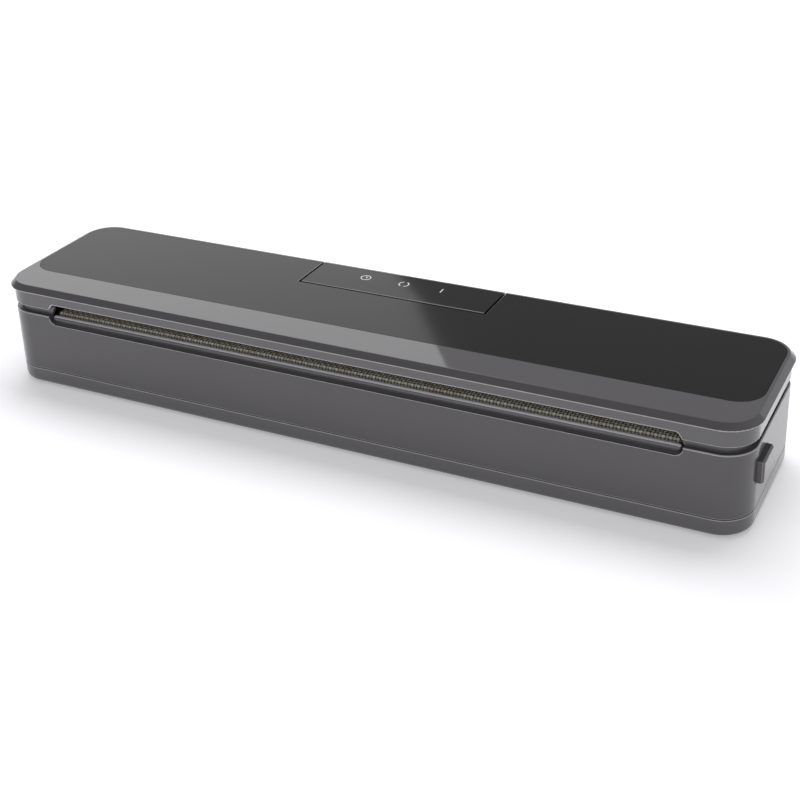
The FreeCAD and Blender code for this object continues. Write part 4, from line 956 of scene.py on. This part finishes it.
@dataclass(frozen=True)
class PanScrew:
    """A cross-recessed pan head screw that points up, its head seat at the origin, in millimetres."""

    head_radius: float = 2.7
    head_height: float = 1.8
    head_rim: float = 0.45
    shank_radius: float = 1.38
    recess_reach: float = 1.6
    recess_half: float = 0.36
    recess_depth: float = 0.9
    recess_taper: float = 0.6

    def build(self, length: float) -> bpy.types.Mesh:
        """Make the screw.

        Args:
            length: Shank length in metres.

        Returns:
            The mesh.
        """
        r, h, s = self.head_radius * MM, self.head_height * MM, self.shank_radius * MM
        turns = [i * math.pi / 14 for i in range(6)]
        crown = [(r * math.cos(t), -h * self.head_rim - h * (1 - self.head_rim) * math.sin(t)) for t in turns]
        bm = lathe([(s * 0.4, length), (s, length - s * 0.8), (s, 0.0), (r, 0.0)] + crown, 24)
        self.recess(bm)
        bmesh.ops.recalc_face_normals(bm, faces=bm.faces[:])
        creased(bm, 40)
        return mesh_of(bm, "pan_screw")

    def recess(self, bm: bmesh.types.BMesh) -> None:
        """Cut the cross into the head.

        Args:
            bm: The turned screw.
        """
        cap = min(bm.faces, key=lambda face: face.calc_center_median().z)
        level = cap.calc_center_median().z
        bmesh.ops.delete(bm, geom=[cap], context="FACES_ONLY")
        rim = [edge for edge in bm.edges if edge.is_boundary]
        a, b = self.recess_half * MM, self.recess_reach * MM
        outline = [(a, b), (a, a), (b, a), (b, -a), (a, -a), (a, -b),
                   (-a, -b), (-a, -a), (-b, -a), (-b, a), (-a, a), (-a, b)]
        top = [bm.verts.new((x, y, level)) for x, y in outline]
        edges = [bm.edges.new((top[i], top[i - 1])) for i in range(len(top))]
        bmesh.ops.bridge_loops(bm, edges=rim + edges)
        floor, taper = level + self.recess_depth * MM, self.recess_taper
        low = [bm.verts.new((x * taper, y * taper, floor)) for x, y in outline]
        bridged(bm, top, low)
        bm.faces.new(low)


@dataclass
class SubAssembly:
    """Pieces that belong together, with the materials that they share."""

    materials: Materials

    def place(self, name: str, mesh: bpy.types.Mesh, body: Body, slot: str, nodes: Sequence[str] = (),
              finish: Optional[str] = None) -> bpy.types.Object:
        """Dress a mesh, put it on its body and let it stand for its CAD nodes.

        Args:
            name: The piece's name.
            mesh: Its finished mesh.
            body: The body it rides on.
            slot: The record's material slot.
            nodes: CAD nodes that it replaces.
            finish: Its material, where that isn't the slot's own.

        Returns:
            The piece.
        """
        obj = link(name, mesh)
        mesh.materials.clear()
        mesh.materials.append(self.materials[finish or slot])
        for polygon in mesh.polygons:
            polygon.material_index = 0
        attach(obj, body.value)
        if nodes:
            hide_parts(*nodes)
        LOG.info("%s on %s, %d faces", name, body.value, len(mesh.polygons))
        return obj

    def refine(self, node: str, name: str, body: Body, slot: str, rules: Iterable[Rule] = ()) -> None:
        """Replace a CAD node by a copy with softened edges, and painted light and shade where its rules ask.

        Args:
            node: The node's name.
            name: The piece's name.
            body: The body it rides on.
            slot: The record's material slot.
            rules: The changes, in order.
        """
        bm = copied(node)
        for rule in rules:
            bm.normal_update()
            rule.apply(bm)
        self.place(name, weighted(name, bm), body, slot, [node])

    def scatter(self, name: str, item: bpy.types.Mesh, points: Sequence[Vector], seed: int, body: Body,
                slot: str, node: str) -> None:
        """Replace a CAD node of equal small parts by copies of an item, each turned at random.

        Args:
            name: The piece's name.
            item: One item, at the origin.
            points: Where the items go.
            seed: Seed of their turns.
            body: The body they ride on.
            slot: The record's material slot.
            node: The node's name.
        """
        cloud = bpy.data.meshes.new(name)
        cloud.from_pydata([tuple(point) for point in points], [], [])
        template = link(name + "_item", item)
        values = {"Template": template, "Seed": seed, "Finish": self.materials[slot]}
        mesh = scatter_tree().run(name, cloud, values)
        bpy.data.objects.remove(template)
        self.place(name, mesh, body, slot, [node])

    def screws(self, node: str, body: Body, seed: int) -> None:
        """Replace a node of screws by cross-recessed ones.

        Args:
            node: The node's name.
            body: The body they ride on.
            seed: Seed of their turns.
        """
        screw = PanScrew()
        boxes = solid_boxes(node)
        head = screw.head_height * MM
        item = screw.build(boxes[0][1].z - boxes[0][0].z - head)
        points = [Vector(((a.x + b.x) / 2, (a.y + b.y) / 2, a.z + head)) for a, b in boxes]
        self.scatter("cross_" + node, item, points, seed, body, "screw_steel", node)

    def dress(self, nodes: Dict[str, str]) -> None:
        """Give carried-over CAD nodes their materials.

        Args:
            nodes: Slot names by node name.
        """
        for node, slot in nodes.items():
            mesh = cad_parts[node].data
            mesh.materials.clear()
            mesh.materials.append(self.materials[slot])
            LOG.info("%s carried over", node)


@dataclass
class Housing(SubAssembly):
    """The case: upper housing, base tray, power inlet, feet and closing screws, in millimetres.

    The edges of the parting line and their painted highlights are given as distances from the line.
    """

    parting: float = 9.4
    seam_edge: Span = (0.2, 0.3)
    seam_highlight: Span = (0.2, 0.7)
    seam_round: float = 0.3
    foot_edge: float = 0.5
    low_wall_end: Leaning = Leaning((161.9, 162.1), (-39.6, -37.8), (44.9, 45.1), 2.4)
    mouth_edge: Softening = Softening((-163.5, 163.5), (-42.1, -41.9), (35.5, 39.3), 0.28, clamp=False)
    window_edge: Softening = Softening((189.9, 190.1), (-32.0, -9.0), (20.0, 36.0), 0.25)
    # Painted highlights: narrow faces along the mouth, the top rim and the parting line are painted paler.
    mouth_highlight: PaintedLightAndShade = PaintedLightAndShade((-163.5, 163.5), (-42.2, -41.4), (35.6, 40.3))
    rim_highlight: PaintedLightAndShade = PaintedLightAndShade(z=(39.6, 40.2), width=0.3)
    # Painted highlight on the top of the lip, brighter than the pale colour itself.
    lip_highlight: PaintedLightAndShade = PaintedLightAndShade((-162.0, 162.0), (-40.2, -37.3), (39.2, 40.1), least_up=0.55, share=1.55)
    # The whole tray is painted a little paler as painted light, which lifts the shade that falls on it.
    tray_painted_lift: PaintedLightAndShade = PaintedLightAndShade(width=1000.0, share=0.06)
    inlet_edge: Softening = Softening(y=(41.99, 42.01), width=0.3)

    def build(self) -> None:
        """Build and dress the pieces."""
        edge, highlight = self.seam(1)
        rules = [self.low_wall_end, self.low_wall_end.mirrored(), self.mouth_edge, edge,
                 self.window_edge, self.window_edge.mirrored(),
                 self.mouth_highlight, self.rim_highlight, highlight, self.lip_highlight]
        self.refine("main_housing", "upper_housing", Body.HOUSING, "body_plastic", rules)
        edge, highlight = self.seam(-1)
        rules = [edge, self.tray_painted_lift, highlight]
        self.refine("base_tray", "base_tray_shell", Body.HOUSING, "body_plastic", rules)
        self.refine("power_inlet", "power_inlet_socket", Body.HOUSING, "switch_plastic", [self.inlet_edge])
        self.feet()
        self.screws("base_screws", Body.HOUSING, 3)
        self.screws("block_screws", Body.HOUSING, 5)

    def seam(self, side: int) -> Tuple[Softening, PaintedLightAndShade]:
        """Rules for the edge beside the parting line.

        Args:
            side: 1 for the edge above the line, -1 for the one below.

        Returns:
            Its rounding and its painted highlight.
        """
        edge, highlight = [sorted(self.parting + side * reach for reach in span)
                      for span in (self.seam_edge, self.seam_highlight)]
        return Softening(z=(edge[0], edge[1]), width=self.seam_round), PaintedLightAndShade(z=(highlight[0], highlight[1]))

    def feet(self) -> None:
        """Turn the four rubber feet, with a rounded edge and a shallow ring groove."""
        boxes = solid_boxes("rubber_feet")
        low, high = boxes[0]
        r, h, edge = (high.x - low.x) / 2, high.z - low.z, self.foot_edge * MM
        section = [(r * 0.52, 0.0), (r * 0.55, edge), (r * 0.62, edge), (r * 0.65, 0.0)]
        section += arc((r - edge, edge), edge, -90, 0) + [(r, h)]
        bm = lathe(section, 40)
        creased(bm)
        points = [Vector(((a.x + b.x) / 2, (a.y + b.y) / 2, a.z)) for a, b in boxes]
        self.scatter("feet", mesh_of(bm, "foot"), points, 2, Body.HOUSING, "foot_rubber", "rubber_feet")


@dataclass
class SealingStation(SubAssembly):
    """The bar with its woven tape, the two gaskets and the drip tray, in millimetres."""

    pitch: float = 1.6
    cells: int = 7
    thread_height: float = 0.2
    cloth_base: float = 0.1
    nose_radius: float = 1.6
    gasket_width: float = 4.5
    gasket_corner: float = 12.5
    gasket_round: float = 0.55
    gasket_dip: float = 0.06
    tray_edge: Softening = Softening(z=(37.3, 37.7), width=0.25)

    def build(self) -> None:
        """Build and dress the pieces."""
        self.refine("heater_bar", "heater_bar_body", Body.HOUSING, "heater_insulator")
        self.refine("drip_tray", "drip_tray_shell", Body.HOUSING, "inner_plastic", [self.tray_edge])
        values = {"Pitch": self.pitch * MM, "Height": self.thread_height * MM,
                  "Finish": self.materials["woven_tape"]}
        mesh = weave_tree().run("tape_cloth", self.strip(), values)
        self.place("tape_cloth", mesh, Body.HOUSING, "woven_tape", ["sealing_tape"])
        low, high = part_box("lower_gasket")
        mesh = self.gasket("lower_gasket", low.z, high.z)
        self.place("chamber_gasket", mesh, Body.HOUSING, "seal_foam", ["lower_gasket"])
        low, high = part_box("upper_gasket")
        mesh = self.gasket("upper_gasket", high.z, low.z)
        self.place("lid_gasket", mesh, Body.LID, "seal_foam", ["upper_gasket"])

    def gasket(self, node: str, root: float, crest: float) -> bpy.types.Mesh:
        """Sweep a crowned foam section round the chamber.

        Args:
            node: The CAD gasket that gives the outline.
            root: Height of its foot.
            crest: Height of its crown, above or below the foot.

        Returns:
            The mesh.
        """
        up = math.copysign(1.0, crest - root)
        half = self.gasket_width * MM / 2
        loop = rounded_loop(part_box(node), self.gasket_corner * MM)
        round_by = half * self.gasket_round
        shoulder = crest - up * round_by
        outer = arc((-round_by, 0.0), round_by, 0, 90, 5)
        inner = arc((-2 * half + round_by, 0.0), round_by, 90, 180, 5)
        section = [(0.0, root)] + [(x, shoulder + up * z) for x, z in outer]
        section += [(-half, crest - up * half * self.gasket_dip)] + [(x, shoulder + up * z) for x, z in inner]
        section += [(-2 * half, root)]
        bm = skin(loop, section)
        creased(bm, 50)
        return mesh_of(bm, node + "_foam")

    def tape_section(self) -> List[Place]:
        """Lay points across the tape from its front edge, over the nose, to the back.

        Returns:
            For each point its y, its z and the length so far.
        """
        low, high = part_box("sealing_tape")
        bar_low, bar_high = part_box("heater_bar")
        out = self.cloth_base * MM
        radius = self.nose_radius * MM + out
        front, top = bar_low.y - out, bar_high.z + out
        drop = top - radius - low.z
        bend = radius * math.pi / 2
        width = drop + bend + high.y - front - radius
        count = round(width / (self.pitch * MM) * self.cells)
        points = []
        for i in range(count + 1):
            s = width * i / count
            if s < drop:
                y, z = front, low.z + s
            elif s < drop + bend:
                turn = (s - drop) / radius
                y, z = front + radius * (1 - math.cos(turn)), low.z + drop + radius * math.sin(turn)
            else:
                y, z = front + radius + s - drop - bend, top
            points.append((y, z, s))
        return points

    def strip(self) -> bpy.types.Mesh:
        """Lay a closed strip over the bar, with its lengths along and across for the weave.

        Returns:
            The mesh. Its underside has a length across of minus one, where no weave is raised.
        """
        low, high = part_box("sealing_tape")
        bar_low, bar_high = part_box("heater_bar")
        nose = self.nose_radius * MM
        section = self.tape_section()
        section += [(high.y, bar_high.z, -1.0), (bar_low.y + nose, bar_high.z, -1.0),
                    (bar_low.y, bar_high.z - nose, -1.0), (bar_low.y, low.z, -1.0)]
        columns = round((high.x - low.x) / (self.pitch * MM) * self.cells)
        bm = bmesh.new()
        along = bm.verts.layers.float.new("along")
        across = bm.verts.layers.float.new("across")
        lines = []
        for i in range(columns + 1):
            x = low.x + (high.x - low.x) * i / columns
            line = []
            for y, z, s in section:
                vert = bm.verts.new((x, y, z))
                vert[along], vert[across] = x - low.x, s
                line.append(vert)
            lines.append(line)
        for first, second in zip(lines, lines[1:]):
            bridged(bm, first, second)
        bm.faces.new(lines[0])
        bm.faces.new(lines[-1])
        bmesh.ops.recalc_face_normals(bm, faces=bm.faces[:])
        return mesh_of(bm, "tape_cloth")


@dataclass
class Lid(SubAssembly):
    """The hinged lid with its panel, inner cover, pressure strip, hooks and hinge arms, in millimetres."""

    strip_corner: float = 1.2
    arch_edge: Softening = Softening((-161.3, 161.3), (-42.1, -41.9), (44.1, 47.0), 0.6, 3, 0.05, False)
    cutout_edge: Softening = Softening((-51.0, 51.0), (14.0, 44.0), (43.0, 55.1), 0.2)
    # Painted highlights along the arch, the skirt's lower edge and the rim, the arch's past the pale colour.
    arch_highlight: PaintedLightAndShade = PaintedLightAndShade((-164.0, 164.0), (-42.2, -41.4), (43.5, 47.5), share=1.3)
    skirt_highlight: PaintedLightAndShade = PaintedLightAndShade(z=(43.7, 44.25))
    rim_highlight: PaintedLightAndShade = PaintedLightAndShade(z=(51.6, 52.4))
    # Painted shade: the front of the chamfer is painted darker, fading out round the corners.
    chamfer_painted_shade: PaintedLightAndShade = PaintedLightAndShade(z=(52.4, 54.8), width=1000.0, least_up=0.2, share=-0.1, fades=True)
    panel_edge: Softening = Softening(z=(54.9, 55.1), width=0.25)
    # Painted highlight along the cut edges of the panel's opening.
    panel_cut_highlight: PaintedLightAndShade = PaintedLightAndShade((-52.0, 52.0), (12.0, 44.0), (54.6, 55.1), 0.3)
    cover_edge: Softening = Softening(z=(46.9, 47.2), width=0.3)
    hook_edge: Softening = Softening(width=0.2)

    def build(self) -> None:
        """Build and dress the pieces."""
        rules = [self.arch_edge, self.cutout_edge, self.arch_highlight, self.skirt_highlight, self.rim_highlight,
                 self.chamfer_painted_shade]
        self.refine("lid_frame", "lid_shell", Body.LID, "lid_plastic", rules)
        rules = [self.panel_edge, self.panel_cut_highlight]
        self.refine("lid_panel", "lid_top_panel", Body.LID, "panel_gloss", rules)
        self.refine("inner_cover", "lid_inner_cover", Body.LID, "inner_plastic", [self.cover_edge])
        self.refine("hinge_arms", "lid_hinge_arms", Body.LID, "inner_plastic")
        self.refine("lid_hooks", "lid_catch_hooks", Body.LID, "inner_plastic", [self.hook_edge])
        mesh = weighted("seal_pressure_strip", self.strip())
        self.place("seal_pressure_strip", mesh, Body.LID, "pressure_silicone", ["pressure_strip"])
        self.screws("lid_screws", Body.LID, 7)

    def strip(self) -> bmesh.types.BMesh:
        """Shape the pressure strip, rounded towards the bar, with a fine groove round its middle.

        Returns:
            The geometry.
        """
        low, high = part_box("pressure_strip")
        r = self.strip_corner * MM
        loop = rounded_loop((low, high), r * 1.3, 6)
        section = [(0.0, high.z), (0.0, low.z + r)]
        section += [(x, low.z + r + z) for x, z in arc((-r, 0.0), r, 0, -90, 6)]
        section += [(-1.7 * r, low.z), (-1.85 * r, low.z + 0.25 * r), (-2.05 * r, low.z + 0.25 * r),
                    (-2.2 * r, low.z)]
        return skin(loop, section, closed=False)


@dataclass
class ControlBlock(SubAssembly):
    """The fixed block behind the lid with its touch panel and printed key marks, in millimetres.

    The depth of the panel's cut front edge is given from the front of the panel.
    """

    key_x: Place = (-21.0, 0.0, 20.4)
    key_y: float = 31.0
    ring_radius: float = 2.7
    stroke: float = 0.5
    ink: float = 0.02
    hands: Point = (1.3, 0.9)
    arc_half: float = 70.0
    bar_half: float = 1.9
    cut_depth: Span = (-0.1, 0.4)
    # Painted highlight along the touch panel's cut front edge.
    cut_highlight: PaintedLightAndShade = PaintedLightAndShade(z=(54.4, 55.1), width=0.45)
    block_edge: Softening = Softening(z=(39.0, 55.1), width=0.2)
    panel_edge: Softening = Softening(z=(54.9, 55.1), width=0.3)

    def build(self) -> None:
        """Build and dress the pieces."""
        self.refine("control_block", "control_housing", Body.HOUSING, "lid_plastic", [self.block_edge])
        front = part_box("control_panel")[0].y / MM
        cut_highlight = replace(self.cut_highlight, y=(front + self.cut_depth[0], front + self.cut_depth[1]))
        self.refine("control_panel", "touch_panel", Body.HOUSING, "panel_gloss", [self.panel_edge, cut_highlight])
        for x, mark in zip(self.key_x, Mark):
            self.key(mark, x)
        self.dress({"touch_board": "circuit_board"})

    def key(self, mark: Mark, x: float) -> None:
        """Print the mark of one key.

        Args:
            mark: Which mark.
            x: Its middle along X.
        """
        bm = bmesh.new()
        y = self.key_y
        if mark is Mark.HANDS:
            self.band(bm, x, 0, 360)
            self.line(bm, (x, y), (x, y + self.hands[0]))
            self.line(bm, (x, y), (x + self.hands[1], y))
        elif mark is Mark.ARCS:
            self.band(bm, x, -self.arc_half, self.arc_half)
            self.band(bm, x, 180 - self.arc_half, 180 + self.arc_half)
        else:
            self.line(bm, (x, y - self.bar_half), (x, y + self.bar_half))
        bmesh.ops.recalc_face_normals(bm, faces=bm.faces[:])
        mesh = mesh_of(bm, "key_mark")
        self.place("key_mark_" + mark.value, mesh, Body.HOUSING, "panel_gloss", finish="ink")

    def slab(self, bm: bmesh.types.BMesh, outline: Sequence[Point]) -> None:
        """Add a flat closed slab of ink on the panel.

        Args:
            bm: The geometry.
            outline: Its outline in millimetres.
        """
        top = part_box("control_panel")[1].z
        low, high = [[bm.verts.new((x * MM, y * MM, top + side * self.ink * MM)) for x, y in outline]
                     for side in (-1, 1)]
        bm.faces.new(low)
        bm.faces.new(high)
        bridged(bm, low, high)

    def band(self, bm: bmesh.types.BMesh, x: float, start: float, end: float) -> None:
        """Add a ring, or a part of one, as short slabs.

        Args:
            bm: The geometry.
            x: The ring's middle along X.
            start: First angle in degrees.
            end: Last angle in degrees.
        """
        steps = max(2, round((end - start) / 8))
        outer = arc((x, self.key_y), self.ring_radius, start, end, steps)
        inner = arc((x, self.key_y), self.ring_radius - self.stroke, start, end, steps)
        for i in range(steps):
            self.slab(bm, [outer[i], outer[i + 1], inner[i + 1], inner[i]])

    def line(self, bm: bmesh.types.BMesh, start: Point, end: Point) -> None:
        """Add a straight stroke with round ends.

        Args:
            bm: The geometry.
            start: One end.
            end: The other end.
        """
        turn = math.degrees(math.atan2(end[1] - start[1], end[0] - start[0]))
        half = self.stroke / 2
        self.slab(bm, arc(start, half, turn + 90, turn + 270) + arc(end, half, turn - 90, turn + 90))


@dataclass
class ReleaseButton(SubAssembly):
    """A release button with its return spring, in millimetres, with the rules of the right one."""

    side: Side
    wire: float = 0.33
    turns: float = 6.0
    travel: float = 2.5
    cap_edge: Softening = Softening((186.5, 193.2), width=0.35, segments=3)
    # Painted highlights along the narrow faces of the cap's edges.
    cap_highlight: PaintedLightAndShade = PaintedLightAndShade((186.5, 193.2), width=0.3)

    def build(self) -> None:
        """Build and dress the pieces."""
        label = self.side.name.lower()
        right = self.side is Side.RIGHT
        body = Body.RIGHT_BUTTON if right else Body.LEFT_BUTTON
        rules = [rule if right else rule.mirrored() for rule in (self.cap_edge, self.cap_highlight)]
        self.refine("release_button_" + label, "button_" + label, body, "button_plastic", rules)
        node = "button_spring_" + label
        low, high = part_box(node)
        middle = (low + high) / 2
        length, wire = high.x - low.x, self.wire * MM
        values = {"Turns": self.turns, "Coil radius": (high.z - low.z) / 2 - wire, "Wire radius": wire,
                  "Length": length - 2 * wire, "Finish": self.materials["spring_steel"]}
        seat = bpy.data.meshes.new(node)
        seat.from_pydata([(low.x + wire, middle.y, middle.z)], [], [])
        coil = spring_tree().run(node, seat, values)
        obj = self.place("coil_" + label, coil, Body.HOUSING, "spring_steel", [node])
        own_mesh(obj)


@dataclass
class Works(SubAssembly):
    """The pump, electrics and hinge pins inside the case."""

    def build(self) -> None:
        """Dress the pieces that the case hides or the open lid shows."""
        self.dress({
            "main_board": "circuit_board", "transformer_core": "core_steel",
            "transformer_coil": "coil_copper", "pump_motor": "motor_steel", "pump_head": "pump_plastic",
            "pump_mounts": "foot_rubber", "air_hose": "hose_silicone", "chamber_nozzle": "pump_plastic",
            "lid_switch": "switch_plastic", "switch_plunger": "plunger_plastic",
            "hinge_pins": "pin_steel", "heating_wire": "heating_alloy",
        })


@dataclass(frozen=True)
class Softbox:
    """A soft rectangular lamp, in metres, watts and degrees."""

    name: str
    place: Place
    target: Place
    size: Span
    power: float
    tilt: float = 0.0
    mirrored: bool = True

    def build(self) -> None:
        """Hang the lamp, out of the camera's sight and, unless mirrored, of reflections."""
        light = bpy.data.lights.new(self.name, "AREA")
        light.shape = "RECTANGLE"
        light.size, light.size_y = self.size
        light.energy = self.power
        obj = link(self.name, light)
        aim = (Vector(self.target) - Vector(self.place)).to_track_quat("-Z", "Y").to_matrix()
        turned = aim @ Matrix.Rotation(math.radians(self.tilt), 3, "Z")
        obj.matrix_world = Matrix.Translation(self.place) @ turned.to_4x4()
        obj.visible_camera = False
        obj.visible_glossy = self.mirrored


@dataclass
class Studio:
    """Pale floor, soft lamps and the camera at the viewing angle.

    The camera's sizes are in millimetres, degrees and points of the picture, the floor's in metres.
    """

    focal: float = 1445.99
    picture: float = 800.0
    centre: Point = (414.0, 280.0)
    azimuth: float = 26.6804
    elevation: float = 24.1316
    roll: float = -1.8678
    offset: Place = (-16.8776, -63.1098, 704.7752)
    floor_level: float = 1.0
    sensor: float = 36.0
    floor_half: float = 6.0
    fill_reach: Span = (0.5, 2.2)
    eye_glow: float = 0.25
    mirror_glow: float = 0.45
    dome_rise: Span = (0.1, 0.25)
    dome_level: float = 0.31
    sky_level: float = 0.42
    softboxes: Tuple[Softbox, ...] = (
        Softbox("softbox_back_left", (-1.091, 0.958, 0.901), (-0.450, -0.336, 0.212), (1.2, 1.6), 7.0, 23.0),
        Softbox("softbox_top", (0.0, 0.6, 1.5), (0.0, 0.0, 0.0), (1.4, 0.8), 13.0, mirrored=False),
        Softbox("softbox_front", (0.2, -1.7, 0.55), (0.0, 0.0, 0.03), (2.4, 0.9), 8.0),
    )

    def build(self) -> None:
        """Build the floor, world, lamps and camera."""
        bpy.context.scene.view_settings.view_transform = "Standard"
        self.floor()
        self.world()
        for softbox in self.softboxes:
            softbox.build()
        self.camera()

    def floor(self) -> None:
        """Lay a wide pale floor that looks white, keeps the object's shadow and is open from below."""
        bm = bmesh.new()
        bmesh.ops.create_grid(bm, x_segments=2, y_segments=2, size=self.floor_half)
        obj = link("studio_floor", mesh_of(bm, "studio_floor"))
        # Matt paper: an even white that shows only the soft shadow.
        material, tree, coords = opened("Paper white rolled")
        grain = add(tree, "ShaderNodeTexNoise", {"Vector": coords, "Scale": per_mm(2 * CLOUD)})
        tones = {SHARE: grain, COLOR_A: linear("f2f1f6"), COLOR_B: linear("f5f4f8")}
        tint = add(tree, "ShaderNodeMix", tones, data_type="RGBA")
        paper = add(tree, "ShaderNodeBsdfDiffuse", {"Color": tint})
        path = add(tree, "ShaderNodeLightPath").outputs
        feeds = {0: path["Is Glossy Ray"], 1: path["Is Transmission Ray"]}
        mirror = add(tree, "ShaderNodeMath", feeds, operation="MAXIMUM")
        lift = add(tree, "ShaderNodeMath", {0: mirror, 1: self.mirror_glow}, operation="MULTIPLY")
        far = add(tree, "ShaderNodeVectorMath", {0: coords}, operation="LENGTH").outputs["Value"]
        feeds = {"Value": far, "From Min": self.fill_reach[0], "From Max": self.fill_reach[1],
                 "To Min": self.eye_glow, "To Max": 1.0 - self.sky_level}
        fill = add(tree, "ShaderNodeMapRange", feeds, interpolation_type="SMOOTHSTEP")
        feeds = {0: path["Is Camera Ray"], 1: fill, 2: lift}
        seen = add(tree, "ShaderNodeMath", feeds, operation="MULTIPLY_ADD")
        glow = add(tree, "ShaderNodeEmission", {"Color": linear("ffffff"), "Strength": seen})
        both = add(tree, "ShaderNodeAddShader", {0: paper, 1: glow})
        under = add(tree, "ShaderNodeNewGeometry").outputs["Backfacing"]
        clear = add(tree, "ShaderNodeBsdfTransparent")
        surface = add(tree, "ShaderNodeMixShader", {0: under, 1: both, 2: clear})
        add(tree, "ShaderNodeOutputMaterial", {"Surface": surface})
        obj.data.materials.append(material)

    def world(self) -> None:
        """Make surroundings, white to the eye and soft on the object, with a dark sky in reflections.

        The dark sky belongs to this studio: under other light the gloss panel mirrors what is there.
        """
        world = bpy.data.worlds.new("Studio")
        bpy.context.scene.world = world
        world.use_nodes = True
        tree = world.node_tree
        tree.nodes.clear()
        path = add(tree, "ShaderNodeLightPath").outputs
        rise = add(tree, "ShaderNodeSeparateXYZ", {0: add(tree, "ShaderNodeTexCoord").outputs["Generated"]})
        dome = add(tree, "ShaderNodeMapRange", {
            "Value": rise.outputs["Z"], "From Min": self.dome_rise[0], "From Max": self.dome_rise[1],
            "To Min": 1.0, "To Max": self.dome_level})
        feeds = {SHARE: path["Is Glossy Ray"], VALUE_A: self.sky_level, VALUE_B: dome}
        glossy = add(tree, "ShaderNodeMix", feeds)
        feeds = {0: path["Is Camera Ray"], 1: path["Is Transmission Ray"]}
        eye = add(tree, "ShaderNodeMath", feeds, operation="MAXIMUM")
        level = add(tree, "ShaderNodeMix", {SHARE: eye, VALUE_A: glossy, VALUE_B: 1.0})
        back = add(tree, "ShaderNodeBackground", {"Color": linear("ffffff"), "Strength": level})
        add(tree, "ShaderNodeOutputWorld", {"Surface": back.outputs[0]})

    def camera(self) -> None:
        """Place the camera of the fitted view."""
        a, e, r = (math.radians(v) for v in (self.azimuth, self.elevation, self.roll))
        level = Vector((math.cos(a), math.sin(a), 0.0))
        back = Vector((math.sin(a) * math.cos(e), -math.cos(a) * math.cos(e), math.sin(e)))
        rise = back.cross(level)
        right = level * math.cos(r) + rise * math.sin(r)
        up = rise * math.cos(r) - level * math.sin(r)
        x, y, z = self.offset
        place = (back * z - right * x - up * y + Vector((0.0, 0.0, self.floor_level))) * MM
        data = bpy.data.cameras.new("Camera")
        data.sensor_width = self.sensor
        data.lens = self.focal / self.picture * self.sensor
        data.shift_x = (self.picture / 2 - self.centre[0]) / self.picture
        data.shift_y = (self.centre[1] - self.picture / 2) / self.picture
        data.clip_start = 0.01
        data.clip_end = 50.0
        obj = link("Camera", data)
        obj.matrix_world = Matrix.Translation(place) @ Matrix((right, up, back)).transposed().to_4x4()
        bpy.context.scene.camera = obj


def main() -> None:
    """Build every sub-assembly in order, then the studio."""
    logging.basicConfig(level=logging.INFO, format="%(name)s: %(message)s")
    materials = finishes()
    for assembly in (Housing, SealingStation, Lid, ControlBlock):
        assembly(materials).build()
    for side in Side:
        ReleaseButton(materials, side).build()
    Works(materials).build()
    Studio().build()


if __name__ == "__main__":
    main()
